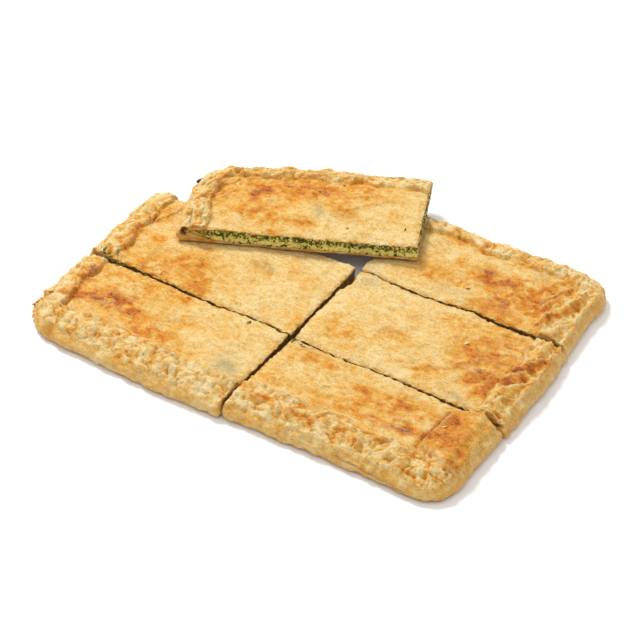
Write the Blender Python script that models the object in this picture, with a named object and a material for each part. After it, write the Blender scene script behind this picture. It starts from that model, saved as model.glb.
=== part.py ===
"""Oblong spinach and cheese pie in a folded pastry crust, cut in six, with one slice laid on the others.

The pie is made as it is baked: one crust with a folded rim round its edge, and one slab of filling
that thins out into the rim. A knife then divides both into three rows of two slices. Five slices
lie where they were cut. The back left one is turned and rests on two of the others.

Frame: X runs along the long side, Y from the front edge to the back, Z up, in metres. The origin is
below the middle of the whole, on the surface that the pie lies on.
"""

import math
from collections import namedtuple

import bmesh
import bpy
from mathutils import Vector, noise

MM = 0.001

# The whole pie, as baked.
PIE_WIDTH = 396 * MM
PIE_DEPTH = 292 * MM
CORNER_RADIUS = 27 * MM
FIELD_HEIGHT = 15.4 * MM
BASE_THICKNESS = 2.6 * MM
LID_THICKNESS = 2.7 * MM

# The rim, where the lower pastry is folded over the upper. Order: left, right, front, back.
RIM_WIDTHS = (25 * MM, 21 * MM, 28 * MM, 22 * MM)
RIM_RISES = (3.0 * MM, 3.2 * MM, 2.4 * MM, 1.8 * MM)
RIM_WOBBLE = 3.0 * MM
RIM_WOBBLE_LENGTH = 26 * MM
SIDE_BLEND = 9 * MM
FLAP_EDGE = 1.8 * MM
CREASE_DEPTH = 0.9 * MM
CREASE_WIDTH = 2.6 * MM
SHOULDER_DROP = 1.9 * MM
SHOULDER_WIDTH = 15 * MM

# The outer wall goes down in rings: how far in each ring is, and its share of the wall's height.
WALL_TOP_INSET = 8 * MM
WALL_RINGS = ((3.4 * MM, 0.86), (0.9 * MM, 0.60), (0.0 * MM, 0.30), (1.3 * MM, 0.0))
WALL_BUMP = 1.1 * MM
WALL_BUMP_LENGTH = 17 * MM

# Relief of the baked lid.
BLISTER_RISE = 1.1 * MM
BLISTER_SIZE = 30 * MM
CRUMPLE_RISE = 1.3 * MM
CRUMPLE_SIZE = 11 * MM
PILLOW_RISE = 0.9 * MM
PILLOW_REACH = 22 * MM
KNIFE_DROOP = 1.3 * MM
KNIFE_REACH = 4.5 * MM
FOLD_EDGE = 1.3 * MM
FOLD_FADE = 5 * MM

# The filling runs from slice to slice and tapers up into the rim's fold.
FILLING_INSET = 5.5 * MM
FILLING_FULL = 37 * MM
FILLING_TIP_LOW = 9.0 * MM
FILLING_TIP_HIGH = 10.6 * MM
FILLING_GAP = 0.3 * MM
FILLING_SET_BACK = 0.5 * MM
FILLING_CRAG = 0.8 * MM
FILLING_CRAG_SIZE = 3.6 * MM

# Mesh spacing: fine over the rim's folds, coarse over the field and inside.
RIM_SPACING = 4.8 * MM
FIELD_SPACING = 8.6 * MM
SLAB_RIM_SPACING = 10 * MM
SLAB_FIELD_SPACING = 26 * MM
RIM_ZONE = 34 * MM
CUT_SPACING = 10 * MM
CRAG_SPACING = 7.8 * MM
CRAG_LEVEL = 3.9 * MM
KNIFE_WANDER = 0.4 * MM
KNIFE_WANDER_LENGTH = 20 * MM
CELL_OVERHANG = 30 * MM

# The knife's way from one end of a cut to the other. Each place, in mm: how far along, how far across, and
# the gap between the slices as they are shaped. It is below 0 where a slice gave way as it was moved apart.
COLUMN_CUT = (
    (-146, 3.2, 1.0),
    (-100, 4.4, 1.2),
    (-60, 6.0, 3.2),
    (-45, 5.3, 2.3),
    (-25, 4.5, 1.0),
    (5, 4.9, 1.2),
    (18, 4.9, 0.6),
    (29, 7.3, 4.6),
    (43, 7.6, 3.8),
    (54, 6.0, 3.6),
    (146, 9.5, 5.2),
)
ROW_CUTS = {
    ("front", "left"): (
        (-198, -48.8, 9.6),
        (-176, -49.2, 5.8),
        (-155, -47.7, 4.2),
        (-120, -47.3, 1.4),
        (-90, -49.6, 0.9),
        (-70, -49.9, 0.3),
        (-45, -48.2, -0.9),
        (-25, -47.4, -1.4),
        (0, -49.4, -1.4),
    ),
    ("front", "right"): (
        (0, -51.6, 0.8),
        (30, -51.4, 0.5),
        (50, -53.0, 0.5),
        (80, -50.0, 0.8),
        (105, -51.3, 0.9),
        (140, -52.4, 1.6),
        (165, -52.4, 2.4),
        (198, -53.4, 3.4),
    ),
    ("back", "left"): (
        (-198, 49.5, 1.6),
        (-60, 49.2, 1.2),
        (-25, 49.8, -0.6),
        (0, 49.8, -0.6),
    ),
    ("back", "right"): (
        (0, 48.2, 1.0),
        (22, 49.2, 0.8),
        (46, 47.5, 0.9),
        (60, 47.7, 1.0),
        (85, 48.9, 0.8),
        (110, 51.4, 1.3),
        (130, 49.3, 2.6),
        (150, 49.4, 2.9),
        (175, 50.8, 2.2),
        (198, 51.0, 1.8),
    ),
}

# Where each slice lies once it is cut: shifts in X and Y, and a turn about Z in degrees.
SLICE_SHIFTS = {
    ("front", "left"): (-0.6 * MM, -2.4 * MM, -0.5),
    ("middle", "left"): (0.0, 0.4 * MM, 0.5),
    ("front", "right"): (0.0, 0.0, 0.0),
    ("middle", "right"): (1.6 * MM, 0.3 * MM, 0.0),
    ("back", "right"): (1.0 * MM, 0.6 * MM, 0.3),
}
LIFTED_SLICE = ("back", "left")
LIFTED_SHIFT = (60.3 * MM, 34.0 * MM)
LIFTED_HEIGHT = 16.9 * MM
LIFTED_TURN = 24.2
LIFTED_TILT = (0.4, -0.2)
PIE_OFFSET = (-1.3 * MM, -9.5 * MM)

# The hand-formed outline is uneven: each push moves the pastry near a place by a vector.
Push = namedtuple("Push", "x y shift_x shift_y reach")
PUSHES = (
    Push(-188 * MM, -138 * MM, 5.0 * MM, 3.6 * MM, 30 * MM),
    Push(-198 * MM, -85 * MM, 2.4 * MM, 0, 34 * MM),
    Push(-55 * MM, -146 * MM, 0, -2.2 * MM, 50 * MM),
    Push(120 * MM, -146 * MM, 0, 1.6 * MM, 60 * MM),
    Push(198 * MM, 5 * MM, 1.2 * MM, 0, 40 * MM),
    Push(198 * MM, 100 * MM, -5.2 * MM, 0, 48 * MM),
    Push(90 * MM, 146 * MM, 0, -1.6 * MM, 60 * MM),
    Push(-190 * MM, 138 * MM, 7.5 * MM, -7.5 * MM, 36 * MM),
    Push(-198 * MM, 70 * MM, 2.5 * MM, 0, 30 * MM),
)

# A flap folded over the corner at the front right: its corners in plan, counter-clockwise, and its thickness.
FLAP_CORNERS = (
    (156 * MM, -109 * MM),
    (187 * MM, -120 * MM),
    (230 * MM, -112 * MM),
    (230 * MM, -46 * MM),
    (182 * MM, -48 * MM),
    (159 * MM, -64 * MM),
)
FLAP_THICKNESS = 3.8 * MM
FLAP_ROUNDING = 2.6 * MM

# Edges of the rim's folded flaps. Each stands up along its line, left of start to end, and sinks behind it.
Fold = namedtuple("Fold", "start end rise reach")
BACK_CORNER_FOLDS = (
    Fold((162 * MM, 55 * MM), (181 * MM, 106 * MM), 2.8 * MM, 12 * MM),
    Fold((150 * MM, 88 * MM), (172 * MM, 128 * MM), 2.4 * MM, 12 * MM),
    Fold((182 * MM, 62 * MM), (188 * MM, 98 * MM), -1.8 * MM, 9 * MM),
)
LEFT_FOLDS = (
    Fold((-176 * MM, -96 * MM), (-170 * MM, -60 * MM), 1.4 * MM, 9 * MM),
    Fold((-168 * MM, -32 * MM), (-174 * MM, 0 * MM), 1.4 * MM, 9 * MM),
    Fold((-174 * MM, 0 * MM), (-160 * MM, 38 * MM), 1.7 * MM, 10 * MM),
    Fold((-181 * MM, 60 * MM), (-172 * MM, 92 * MM), 2.0 * MM, 10 * MM),
    Fold((-184 * MM, 84 * MM), (-168 * MM, 118 * MM), 2.4 * MM, 11 * MM),
)
FRONT_FOLDS = (
    Fold((70 * MM, -120 * MM), (102 * MM, -112 * MM), -1.6 * MM, 12 * MM),
    Fold((104 * MM, -122 * MM), (140 * MM, -113 * MM), -1.8 * MM, 12 * MM),
    Fold((8 * MM, -121 * MM), (58 * MM, -116 * MM), -1.5 * MM, 12 * MM),
    Fold((-120 * MM, -117 * MM), (-62 * MM, -121 * MM), -1.4 * MM, 14 * MM),
)
BACK_FOLDS = (
    Fold((-150 * MM, 122 * MM), (-108 * MM, 127 * MM), 1.6 * MM, 10 * MM),
    Fold((-104 * MM, 124 * MM), (-52 * MM, 126 * MM), 1.5 * MM, 10 * MM),
)

# The twisted stretch of the right rim: pleats that lie one over the next along the edge.
PLEAT_COUNT = 5
PLEAT_FIRST = -62 * MM
PLEAT_PITCH = 25 * MM
PLEAT_LENGTH = 56 * MM
PLEAT_INNER = 179 * MM
PLEAT_OUTER = 196 * MM
PLEAT_RISE = 2.0 * MM
PLEAT_REACH = 6 * MM

CRUST_COLOUR = (0.68, 0.42, 0.15, 1.0)
FILLING_COLOUR = (0.24, 0.23, 0.06, 1.0)


def ease(value, low, high):
    """0 below low, 1 above high, and a smooth step between."""
    t = min(1.0, max(0.0, (value - low) / (high - low)))
    return t * t * (3 - 2 * t)


def wave(x, y, length, seed):
    """Smooth noise from about -1 to 1 whose bumps are about length across."""
    return 1.6 * noise.noise(Vector((x / length, y / length, seed)))


def edge_distance(x, y):
    """How far inside the pie's rounded outline a point is."""
    past_x = abs(x) - (PIE_WIDTH / 2 - CORNER_RADIUS)
    past_y = abs(y) - (PIE_DEPTH / 2 - CORNER_RADIUS)
    corner = math.hypot(max(past_x, 0), max(past_y, 0))
    return CORNER_RADIUS - corner - min(max(past_x, past_y), 0)


def side_shares(x, y):
    """How much a point belongs to the left, right, front and back rims. The four sum to 1."""
    gaps = (x + PIE_WIDTH / 2, PIE_WIDTH / 2 - x, y + PIE_DEPTH / 2, PIE_DEPTH / 2 - y)
    nearest = min(gaps)
    pulls = [math.exp((nearest - gap) / SIDE_BLEND) for gap in gaps]
    return [pull / sum(pulls) for pull in pulls]


def mixed(shares, values):
    """The value for a point whose shares of the four sides are given."""
    return sum(share * value for share, value in zip(shares, values))


def cut_place(cut, along, side):
    """Where a cut passes at a place along it. Side -1 or 1 gives that slice's own edge."""
    ends = list(zip(cut, cut[1:]))
    before, after = next((pair for pair in ends if along <= pair[1][0] * MM), ends[-1])
    share = ease(along, before[0] * MM, after[0] * MM)
    across, gap = (a + (b - a) * share for a, b in zip(before[1:], after[1:]))
    return (across + side * gap / 2) * MM


def column_cut_x(y, side=0):
    """Where the cut between the columns passes at y."""
    return cut_place(COLUMN_CUT, y, side) + KNIFE_WANDER * wave(0, y, KNIFE_WANDER_LENGTH, 3.1)


def row_cut_y(row, column, x, side=0):
    """Where the cut behind the front or middle row passes at x."""
    seed = 5.3 + 2.0 * list(ROW_CUTS).index((row, column))
    return cut_place(ROW_CUTS[row, column], x, side) + KNIFE_WANDER * wave(x, 0, KNIFE_WANDER_LENGTH, seed)


def cut_distance(x, y):
    """How far a point is from the nearest cut."""
    column = "left" if x < column_cut_x(y) else "right"
    rows = [abs(y - row_cut_y(row, column, x)) for row in ("front", "back")]
    return min(abs(x - column_cut_x(y)), *rows)


def right_pleats():
    """The pleats of the twisted rim, each starting a pitch behind the last."""
    starts = [PLEAT_FIRST + i * PLEAT_PITCH for i in range(PLEAT_COUNT)]
    return [
        Fold((PLEAT_INNER, y), (PLEAT_OUTER, y + PLEAT_LENGTH), PLEAT_RISE, PLEAT_REACH)
        for y in starts
    ]


FOLDS = (
    *BACK_CORNER_FOLDS,
    *LEFT_FOLDS,
    *FRONT_FOLDS,
    *BACK_FOLDS,
    *right_pleats(),
)


def fold_relief(x, y, fold):
    """A flap's edge: steep on one side, sinking away on the other. A negative rise swaps the sides."""
    dx, dy = fold.end[0] - fold.start[0], fold.end[1] - fold.start[1]
    length = math.hypot(dx, dy)
    along = ((x - fold.start[0]) * dx + (y - fold.start[1]) * dy) / length
    behind = ((y - fold.start[1]) * dx - (x - fold.start[0]) * dy) / length
    behind *= math.copysign(1, fold.rise)
    ends = ease(along, -FOLD_FADE, FOLD_FADE) * (1 - ease(along, length - FOLD_FADE, length + FOLD_FADE))
    shape = math.exp(-behind / fold.reach) if behind > 0 else math.exp(behind / FOLD_EDGE)
    return abs(fold.rise) * ends * shape


def flap_relief(x, y):
    """The corner flap: flat on top, with rounded edges."""
    depths = []
    for start, end in zip(FLAP_CORNERS, FLAP_CORNERS[1:] + FLAP_CORNERS[:1]):
        dx, dy = end[0] - start[0], end[1] - start[1]
        depths.append(((y - start[1]) * dx - (x - start[0]) * dy) / math.hypot(dx, dy))
    return FLAP_THICKNESS * ease(min(depths), 0, FLAP_ROUNDING)


def rim_relief(x, y):
    """The rim's swell over the field, the crease inside it and the rounded shoulder outside."""
    distance = edge_distance(x, y)
    shares = side_shares(x, y)
    width = mixed(shares, RIM_WIDTHS) + RIM_WOBBLE * wave(x, y, RIM_WOBBLE_LENGTH, 11.0)
    swell = mixed(shares, RIM_RISES) * (1 - ease(distance, width - FLAP_EDGE, width + FLAP_EDGE))
    crumple = CRUMPLE_RISE * wave(x, y, CRUMPLE_SIZE, 17.0) * (1 - ease(distance, 0.8 * width, width))
    flap = flap_relief(x, y)
    crease = (CREASE_DEPTH - flap / 3) * math.exp(-(((distance - width - FLAP_EDGE) / CREASE_WIDTH) ** 2))
    shoulder = SHOULDER_DROP * (1 - ease(distance, WALL_TOP_INSET, SHOULDER_WIDTH))
    return max(swell, flap) + crumple - max(0, crease) - shoulder


def pillow(x, y):
    """Height of the lid without its rim and relief: each slice is fullest in its middle."""
    gap = cut_distance(x, y)
    return FIELD_HEIGHT + PILLOW_RISE * (1 - math.exp(-gap / PILLOW_REACH))


def top_height(x, y):
    """Height of the baked pie's upper surface."""
    height = pillow(x, y) + rim_relief(x, y)
    height += sum(fold_relief(x, y, fold) for fold in FOLDS)
    height += BLISTER_RISE * wave(x, y, BLISTER_SIZE, 23.0)
    return height - KNIFE_DROOP * math.exp(-cut_distance(x, y) / KNIFE_REACH)


def pushed(x, y):
    """Where a point of the evenly shaped pie lies once the outline is hand-formed."""
    moved_x, moved_y = x, y
    for push in PUSHES:
        share = math.exp(-((x - push.x) ** 2 + (y - push.y) ** 2) / push.reach**2)
        moved_x += push.shift_x * share
        moved_y += push.shift_y * share
    return moved_x, moved_y


def outward(x, y):
    """Unit vector that points out of the pie, square to the nearest stretch of its outline."""
    past_x = abs(x) - (PIE_WIDTH / 2 - CORNER_RADIUS)
    past_y = abs(y) - (PIE_DEPTH / 2 - CORNER_RADIUS)
    if past_x > 0 and past_y > 0:
        normal = Vector((past_x, past_y, 0))
    else:
        normal = Vector((1, 0, 0)) if past_x > past_y else Vector((0, 1, 0))
    normal.x = math.copysign(normal.x, x)
    normal.y = math.copysign(normal.y, y)
    return normal.normalized()


def stations(half, inset, fine, coarse):
    """Grid lines from edge to edge: fine over the rim, coarse between."""
    edge, inner = half - inset, half - RIM_ZONE
    near = round((edge - inner) / fine)
    across = round(2 * inner / coarse)
    low = [-edge + i * (edge - inner) / near for i in range(near)]
    middle = [-inner + i * 2 * inner / across for i in range(across + 1)]
    return low + middle + [-value for value in reversed(low)]


def round_corner(x, y, inset):
    """Moves a point of an oblong grid so that the grid's corners become arcs of the outline."""
    radius = CORNER_RADIUS - inset
    centre_x = PIE_WIDTH / 2 - CORNER_RADIUS
    centre_y = PIE_DEPTH / 2 - CORNER_RADIUS
    p, q = (abs(x) - centre_x) / radius, (abs(y) - centre_y) / radius
    if p <= 0 or q <= 0:
        return x, y
    across = centre_x + radius * p * math.sqrt(1 - q * q / 2)
    back = centre_y + radius * q * math.sqrt(1 - p * p / 2)
    return math.copysign(across, x), math.copysign(back, y)


def grid_sheet(mesh, inset, fine, coarse):
    """A flat sheet of quads over the pie's outline, inset by the given amount."""
    columns = stations(PIE_WIDTH / 2, inset, fine, coarse)
    rows = stations(PIE_DEPTH / 2, inset, fine, coarse)
    made = bmesh.ops.create_grid(mesh, x_segments=len(columns) - 1, y_segments=len(rows) - 1, size=1)
    for vertex in made["verts"]:
        column = round((vertex.co.x + 1) / 2 * (len(columns) - 1))
        row = round((vertex.co.y + 1) / 2 * (len(rows) - 1))
        x, y = round_corner(columns[column], rows[row], inset)
        vertex.co = (x, y, 0)
    return made["verts"]


def boundary(mesh):
    return [edge for edge in mesh.edges if edge.is_boundary]


def hand_form(mesh):
    """Pushes the whole shape about in plan."""
    for vertex in mesh.verts:
        vertex.co.x, vertex.co.y = pushed(vertex.co.x, vertex.co.y)


def finished(mesh, name):
    """Turns the faces outwards and stores the shape under a name."""
    bmesh.ops.recalc_face_normals(mesh, faces=mesh.faces)
    data = bpy.data.meshes.new(name)
    mesh.to_mesh(data)
    mesh.free()
    return data


def whole_crust():
    """The crust of the uncut pie, still solid: relief on top, rounded walls and a flat underside."""
    mesh = bmesh.new()
    for vertex in grid_sheet(mesh, WALL_TOP_INSET, RIM_SPACING, FIELD_SPACING):
        vertex.co.z = top_height(vertex.co.x, vertex.co.y)
    rim = {}
    for vertex in {vertex for edge in boundary(mesh) for vertex in edge.verts}:
        rim[vertex] = (vertex.co.copy(), outward(vertex.co.x, vertex.co.y))
    for inset, share in WALL_RINGS:
        edges = boundary(mesh)
        made = bmesh.ops.extrude_edge_only(mesh, edges=edges)["geom"]
        below = {}
        for edge in mesh.edges:
            ends = [vertex for vertex in edge.verts if vertex in rim]
            if len(ends) == 1 and edge.other_vert(ends[0]) in made:
                below[edge.other_vert(ends[0])] = rim[ends[0]]
        for vertex, (top, normal) in below.items():
            bump = WALL_BUMP * wave(top.x, top.y + share * top.z * 3, WALL_BUMP_LENGTH, 29.0)
            out = WALL_TOP_INSET - inset + bump
            vertex.co = top + normal * out
            vertex.co.z = top.z * share
        rim = below
    bmesh.ops.edgeloop_fill(mesh, edges=boundary(mesh))
    hand_form(mesh)
    return finished(mesh, "whole_crust")


def filling_limits(x, y):
    """Lowest and highest point of the filling at a place."""
    taper = ease(edge_distance(x, y), FILLING_INSET, FILLING_FULL)
    low = FILLING_TIP_LOW + (BASE_THICKNESS - FILLING_TIP_LOW) * taper
    high = FILLING_TIP_HIGH + (pillow(x, y) - LID_THICKNESS - FILLING_TIP_HIGH) * taper
    return low, high


def filling_slab(name, margin):
    """The filling of the uncut pie, grown by margin on every side."""
    mesh = bmesh.new()
    lower = grid_sheet(mesh, FILLING_INSET - margin, SLAB_RIM_SPACING, SLAB_FIELD_SPACING)
    upper = bmesh.ops.extrude_face_region(mesh, geom=mesh.faces[:])["geom"]
    for vertex in lower:
        vertex.co.z = filling_limits(vertex.co.x, vertex.co.y)[0] - margin
    for vertex in (item for item in upper if isinstance(item, bmesh.types.BMVert)):
        vertex.co.z = filling_limits(vertex.co.x, vertex.co.y)[1] + margin
    hand_form(mesh)
    return finished(mesh, name)


def slice_sides(row, column):
    """The slice's left, right, front and back edges, each a function of the place along it."""
    beyond_x = PIE_WIDTH / 2 + CELL_OVERHANG
    beyond_y = PIE_DEPTH / 2 + CELL_OVERHANG
    left = (lambda y: column_cut_x(y, 1)) if column == "right" else (lambda y: -beyond_x)
    right = (lambda y: column_cut_x(y, -1)) if column == "left" else (lambda y: beyond_x)
    before = {"middle": "front", "back": "back"}.get(row)
    behind = {"front": "front", "middle": "back"}.get(row)
    front = (lambda x: row_cut_y(before, column, x, 1)) if before else (lambda x: -beyond_y)
    back = (lambda x: row_cut_y(behind, column, x, -1)) if behind else (lambda x: beyond_y)
    return left, right, front, back


def corner_of(edge_x, edge_y):
    """Where a side edge meets a front or back edge."""
    x, y = 0.0, 0.0
    for _ in range(6):
        y = edge_y(x)
        x = edge_x(y)
    return x, y


def spread(low, high, spacing):
    """Even steps from low towards high, without high itself."""
    count = max(1, round(abs(high - low) / spacing))
    return [low + (high - low) * i / count for i in range(count)]


def cell_outline(row, column, spacing):
    """The slice's plan as a closed line of points, counter-clockwise, with cuts divided by spacing."""
    left, right, front, back = slice_sides(row, column)
    front_left, front_right = corner_of(left, front), corner_of(right, front)
    back_left, back_right = corner_of(left, back), corner_of(right, back)
    points = [(x, front(x)) for x in spread(front_left[0], front_right[0], spacing)]
    points += [(right(y), y) for y in spread(front_right[1], back_right[1], spacing)]
    points += [(x, back(x)) for x in spread(back_right[0], back_left[0], spacing)]
    points += [(left(y), y) for y in spread(back_left[1], front_left[1], spacing)]
    return points


def upright_block(points, levels):
    """An upright solid over a closed line of points, with a ring of vertices at each level."""
    mesh = bmesh.new()
    rings = [[mesh.verts.new((x, y, z)) for x, y in points] for z in levels]
    mesh.faces.new(list(reversed(rings[0])))
    mesh.faces.new(rings[-1])
    for low, high in zip(rings, rings[1:]):
        for i in range(len(points)):
            mesh.faces.new((low[i - 1], low[i], high[i], high[i - 1]))
    return mesh


def knife_cell(row, column):
    """The upright block that a slice's crust is cut with."""
    outline = cell_outline(row, column, CUT_SPACING)
    mesh = upright_block(outline, [-CELL_OVERHANG, FIELD_HEIGHT + CELL_OVERHANG])
    return finished(mesh, f"cell_{row}_{column}")


def filling_cell(row, column):
    """The block that a slice's filling is cut with. Its walls are craggy and a little set back."""
    outline = cell_outline(row, column, CRAG_SPACING)
    levels = [CRAG_LEVEL * i for i in range(math.ceil(FIELD_HEIGHT / CRAG_LEVEL) + 1)]
    mesh = upright_block(outline, [-CELL_OVERHANG, *levels, FIELD_HEIGHT + CELL_OVERHANG])
    bmesh.ops.recalc_face_normals(mesh, faces=mesh.faces)
    mesh.normal_update()
    moves = {}
    for vertex in mesh.verts:
        across = Vector((vertex.normal.x, vertex.normal.y, 0))
        if across.length < 0.1:
            continue
        crag = noise.noise(vertex.co / FILLING_CRAG_SIZE) * FILLING_CRAG
        moves[vertex] = across.normalized() * (crag - FILLING_SET_BACK)
    for vertex, move in moves.items():
        vertex.co += move
    return finished(mesh, f"filling_cell_{row}_{column}")


def plain_material(name, colour, roughness):
    material = bpy.data.materials.new(name)
    material.use_nodes = True
    shader = material.node_tree.nodes["Principled BSDF"]
    shader.inputs["Base Color"].default_value = colour
    shader.inputs["Roughness"].default_value = roughness
    shader.inputs["Metallic"].default_value = 0.0
    return material


def placed(name, data, parent, material=None):
    """An object that shows a copy of a mesh and moves with its parent."""
    thing = bpy.data.objects.new(name, data.copy())
    bpy.context.scene.collection.objects.link(thing)
    thing.parent = parent
    if material:
        thing.data.materials.clear()
        thing.data.materials.append(material)
        thing.data.shade_smooth()
    return thing


def cutter(name, data, parent):
    """A helper that only cuts others."""
    thing = placed(name, data, parent)
    thing.hide_render = True
    thing.display_type = "WIRE"
    return thing


def add_boolean(thing, operation, other):
    modifier = thing.modifiers.new(f"{operation.lower()}_{other.name}", "BOOLEAN")
    modifier.operation = operation
    modifier.solver = "EXACT"
    modifier.object = other


def slice_place(row, column, parent):
    """The empty that a slice is laid out on: near its place in the pie, or lifted onto the others."""
    place = bpy.data.objects.new(f"place_{row}_{column}", None)
    bpy.context.scene.collection.objects.link(place)
    place.parent = parent
    if (row, column) == LIFTED_SLICE:
        place.location = (*LIFTED_SHIFT, LIFTED_HEIGHT)
        tilt_x, tilt_y = (math.radians(angle) for angle in LIFTED_TILT)
        place.rotation_euler = (tilt_x, tilt_y, math.radians(LIFTED_TURN))
    else:
        shift_x, shift_y, turn = SLICE_SHIFTS[row, column]
        place.location = (shift_x, shift_y, 0)
        place.rotation_euler = (0, 0, math.radians(turn))
    return place


def clear_scene():
    for thing in list(bpy.data.objects):
        bpy.data.objects.remove(thing)


def build_pie():
    """Bakes the whole pie, cuts it and lays out its six slices."""
    clear_scene()
    pie = bpy.data.objects.new("pie", None)
    bpy.context.scene.collection.objects.link(pie)
    pie.location = (*PIE_OFFSET, 0)
    crust, hollow, slab = whole_crust(), filling_slab("hollow", FILLING_GAP), filling_slab("filling", 0)
    for row in ("front", "middle", "back"):
        for column in ("left", "right"):
            place = slice_place(row, column, pie)
            baked = plain_material(f"baked_crust_{row}_{column}", CRUST_COLOUR, 0.5)
            stuffing = plain_material(f"spinach_filling_{row}_{column}", FILLING_COLOUR, 0.6)
            case = placed(f"crust_{row}_{column}", crust, place, baked)
            add_boolean(case, "INTERSECT", cutter(f"cell_{row}_{column}", knife_cell(row, column), place))
            add_boolean(case, "DIFFERENCE", cutter(f"hollow_{row}_{column}", hollow, place))
            inside = placed(f"filling_{row}_{column}", slab, place, stuffing)
            cell = cutter(f"filling_cell_{row}_{column}", filling_cell(row, column), place)
            add_boolean(inside, "INTERSECT", cell)


build_pie()
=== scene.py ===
"""Looks of the oblong spinach and cheese pie: baked crust, cut filling, loose flakes, light and camera."""

import math
import random
from collections import namedtuple
from functools import partial

import bmesh
import bpy
import numpy as np
from mathutils import Euler, Matrix, Vector, noise
from mathutils.bvhtree import BVHTree


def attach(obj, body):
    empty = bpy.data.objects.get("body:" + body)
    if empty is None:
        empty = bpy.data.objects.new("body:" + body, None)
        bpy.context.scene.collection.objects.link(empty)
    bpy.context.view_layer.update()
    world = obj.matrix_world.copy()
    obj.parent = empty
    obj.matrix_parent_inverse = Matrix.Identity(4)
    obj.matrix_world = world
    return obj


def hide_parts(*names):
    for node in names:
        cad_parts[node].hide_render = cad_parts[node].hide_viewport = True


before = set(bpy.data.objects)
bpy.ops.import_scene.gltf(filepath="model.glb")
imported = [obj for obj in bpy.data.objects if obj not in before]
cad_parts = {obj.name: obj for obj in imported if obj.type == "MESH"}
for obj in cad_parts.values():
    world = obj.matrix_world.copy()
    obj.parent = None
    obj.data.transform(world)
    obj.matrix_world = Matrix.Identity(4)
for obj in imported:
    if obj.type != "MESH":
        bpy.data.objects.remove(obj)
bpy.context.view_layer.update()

MM = 0.001
ROWS = ("front", "middle", "back")
COLUMNS = ("left", "right")
LIFTED = ("back", "left")

# The pie's own measures, in a frame with its origin in the middle of the uncut pie, on the table.
PIE_WIDTH = 396 * MM
PIE_DEPTH = 292 * MM
CORNER_RADIUS = 27 * MM
FIELD_HEIGHT = 15.4 * MM
PIE_OFFSET = (-1.3 * MM, -9.5 * MM)

# Where each slice lies once it is cut: shifts in X, Y and Z, then a turn about Z and tilts about X and Y, in
# degrees.
Place = namedtuple("Place", "x y z turn tilt_x tilt_y", defaults=(0.0, 0.0))
PLACES = {
    ("front", "left"): Place(-0.6 * MM, -2.4 * MM, 0, -0.5),
    ("middle", "left"): Place(0.0, 0.4 * MM, 0, 0.5),
    ("back", "left"): Place(60.3 * MM, 34.0 * MM, 16.9 * MM, 24.2, 0.4, -0.2),
    ("front", "right"): Place(0.0, 0.0, 0, 0.0),
    ("middle", "right"): Place(1.6 * MM, 0.3 * MM, 0, 0.0),
    ("back", "right"): Place(1.0 * MM, 0.6 * MM, 0, 0.3),
}

# The folded rim. Order of the widths and rises: left, right, front, back.
RIM_WIDTHS = (25 * MM, 27.5 * MM, 28 * MM, 22 * MM)
RIM_RISES = (2.1 * MM, 2.4 * MM, 2.6 * MM, 1.9 * MM)
RIM_WOBBLE = 3.0 * MM
RIM_WOBBLE_LENGTH = 26 * MM
SIDE_BLEND = 9 * MM
FLAP_EDGE = 0.9 * MM
CREASE_DEPTH = 0.9 * MM
CREASE_WIDTH = 1.5 * MM
CREASE_CHANGE = 16 * MM
SHOULDER_DROP = 3.8 * MM
SHOULDER_WIDTH = 15 * MM
WALL_TOP_INSET = 8 * MM
CRUMPLE_RISE = 1.6 * MM
CRUMPLE_SIZE = 9 * MM
FRAYED_EDGE = 2.2 * MM
FRAYED_LENGTH = 11 * MM
BLISTER_RISE = 1.1 * MM
BLISTER_SIZE = 30 * MM
PILLOW_RISE = 0.9 * MM
PILLOW_REACH = 22 * MM
KNIFE_DROOP = 1.3 * MM
KNIFE_REACH = 4.5 * MM
KNIFE_WANDER = 0.4 * MM
KNIFE_WANDER_LENGTH = 20 * MM
FOLD_FADE = 4 * MM

# The knife's way from one end of a cut to the other. Each place, in mm: how far along, how far across, and
# the gap between the slices as they are shaped.
COLUMN_CUT = (
    (-146, 3.2, 1.0), (-100, 4.4, 1.2), (-60, 6.0, 3.2), (-45, 5.3, 2.3), (-25, 4.5, 1.0), (5, 4.9, 1.2),
    (18, 4.9, 0.6), (29, 7.3, 4.6), (43, 7.6, 3.8), (54, 6.0, 3.6), (146, 9.5, 5.2),
)
ROW_CUTS = {
    ("front", "left"): (
        (-198, -48.8, 9.6), (-176, -49.2, 5.8), (-155, -47.7, 4.2), (-120, -47.3, 1.4), (-90, -49.6, 0.9),
        (-70, -49.9, 0.3), (-45, -48.2, -0.9), (-25, -47.4, -1.4), (0, -49.4, -1.4),
    ),
    ("front", "right"): (
        (0, -51.6, 0.8), (30, -51.4, 0.5), (50, -53.0, 0.5), (80, -50.0, 0.8), (105, -51.3, 0.9),
        (140, -52.4, 1.6), (165, -52.4, 2.4), (198, -53.4, 3.4),
    ),
    ("back", "left"): (
        (-198, 49.5, 1.6), (-60, 49.2, 1.2), (-25, 49.8, -0.6), (0, 49.8, -0.6),
    ),
    ("back", "right"): (
        (0, 48.2, 1.0), (22, 49.2, 0.8), (46, 47.5, 0.9), (60, 47.7, 1.0), (85, 48.9, 0.8),
        (110, 51.4, 1.3), (130, 49.3, 2.6), (150, 49.4, 2.9), (175, 50.8, 2.2), (198, 51.0, 1.8),
    ),
}

# The hand-formed outline: each push moves the pastry near a place by a vector, out to a reach. In mm.
PUSHES = (
    (-188, -138, 5.0, 3.6, 30), (-198, -85, 2.4, 0, 34), (-55, -146, 0, -2.2, 50),
    (120, -146, 0, 1.6, 60), (198, 5, 1.2, 0, 40), (198, 100, -5.2, 0, 48), (90, 146, 0, -1.6, 60),
    (-190, 138, 7.5, -7.5, 36), (-198, 70, 2.5, 0, 30),
)

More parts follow.
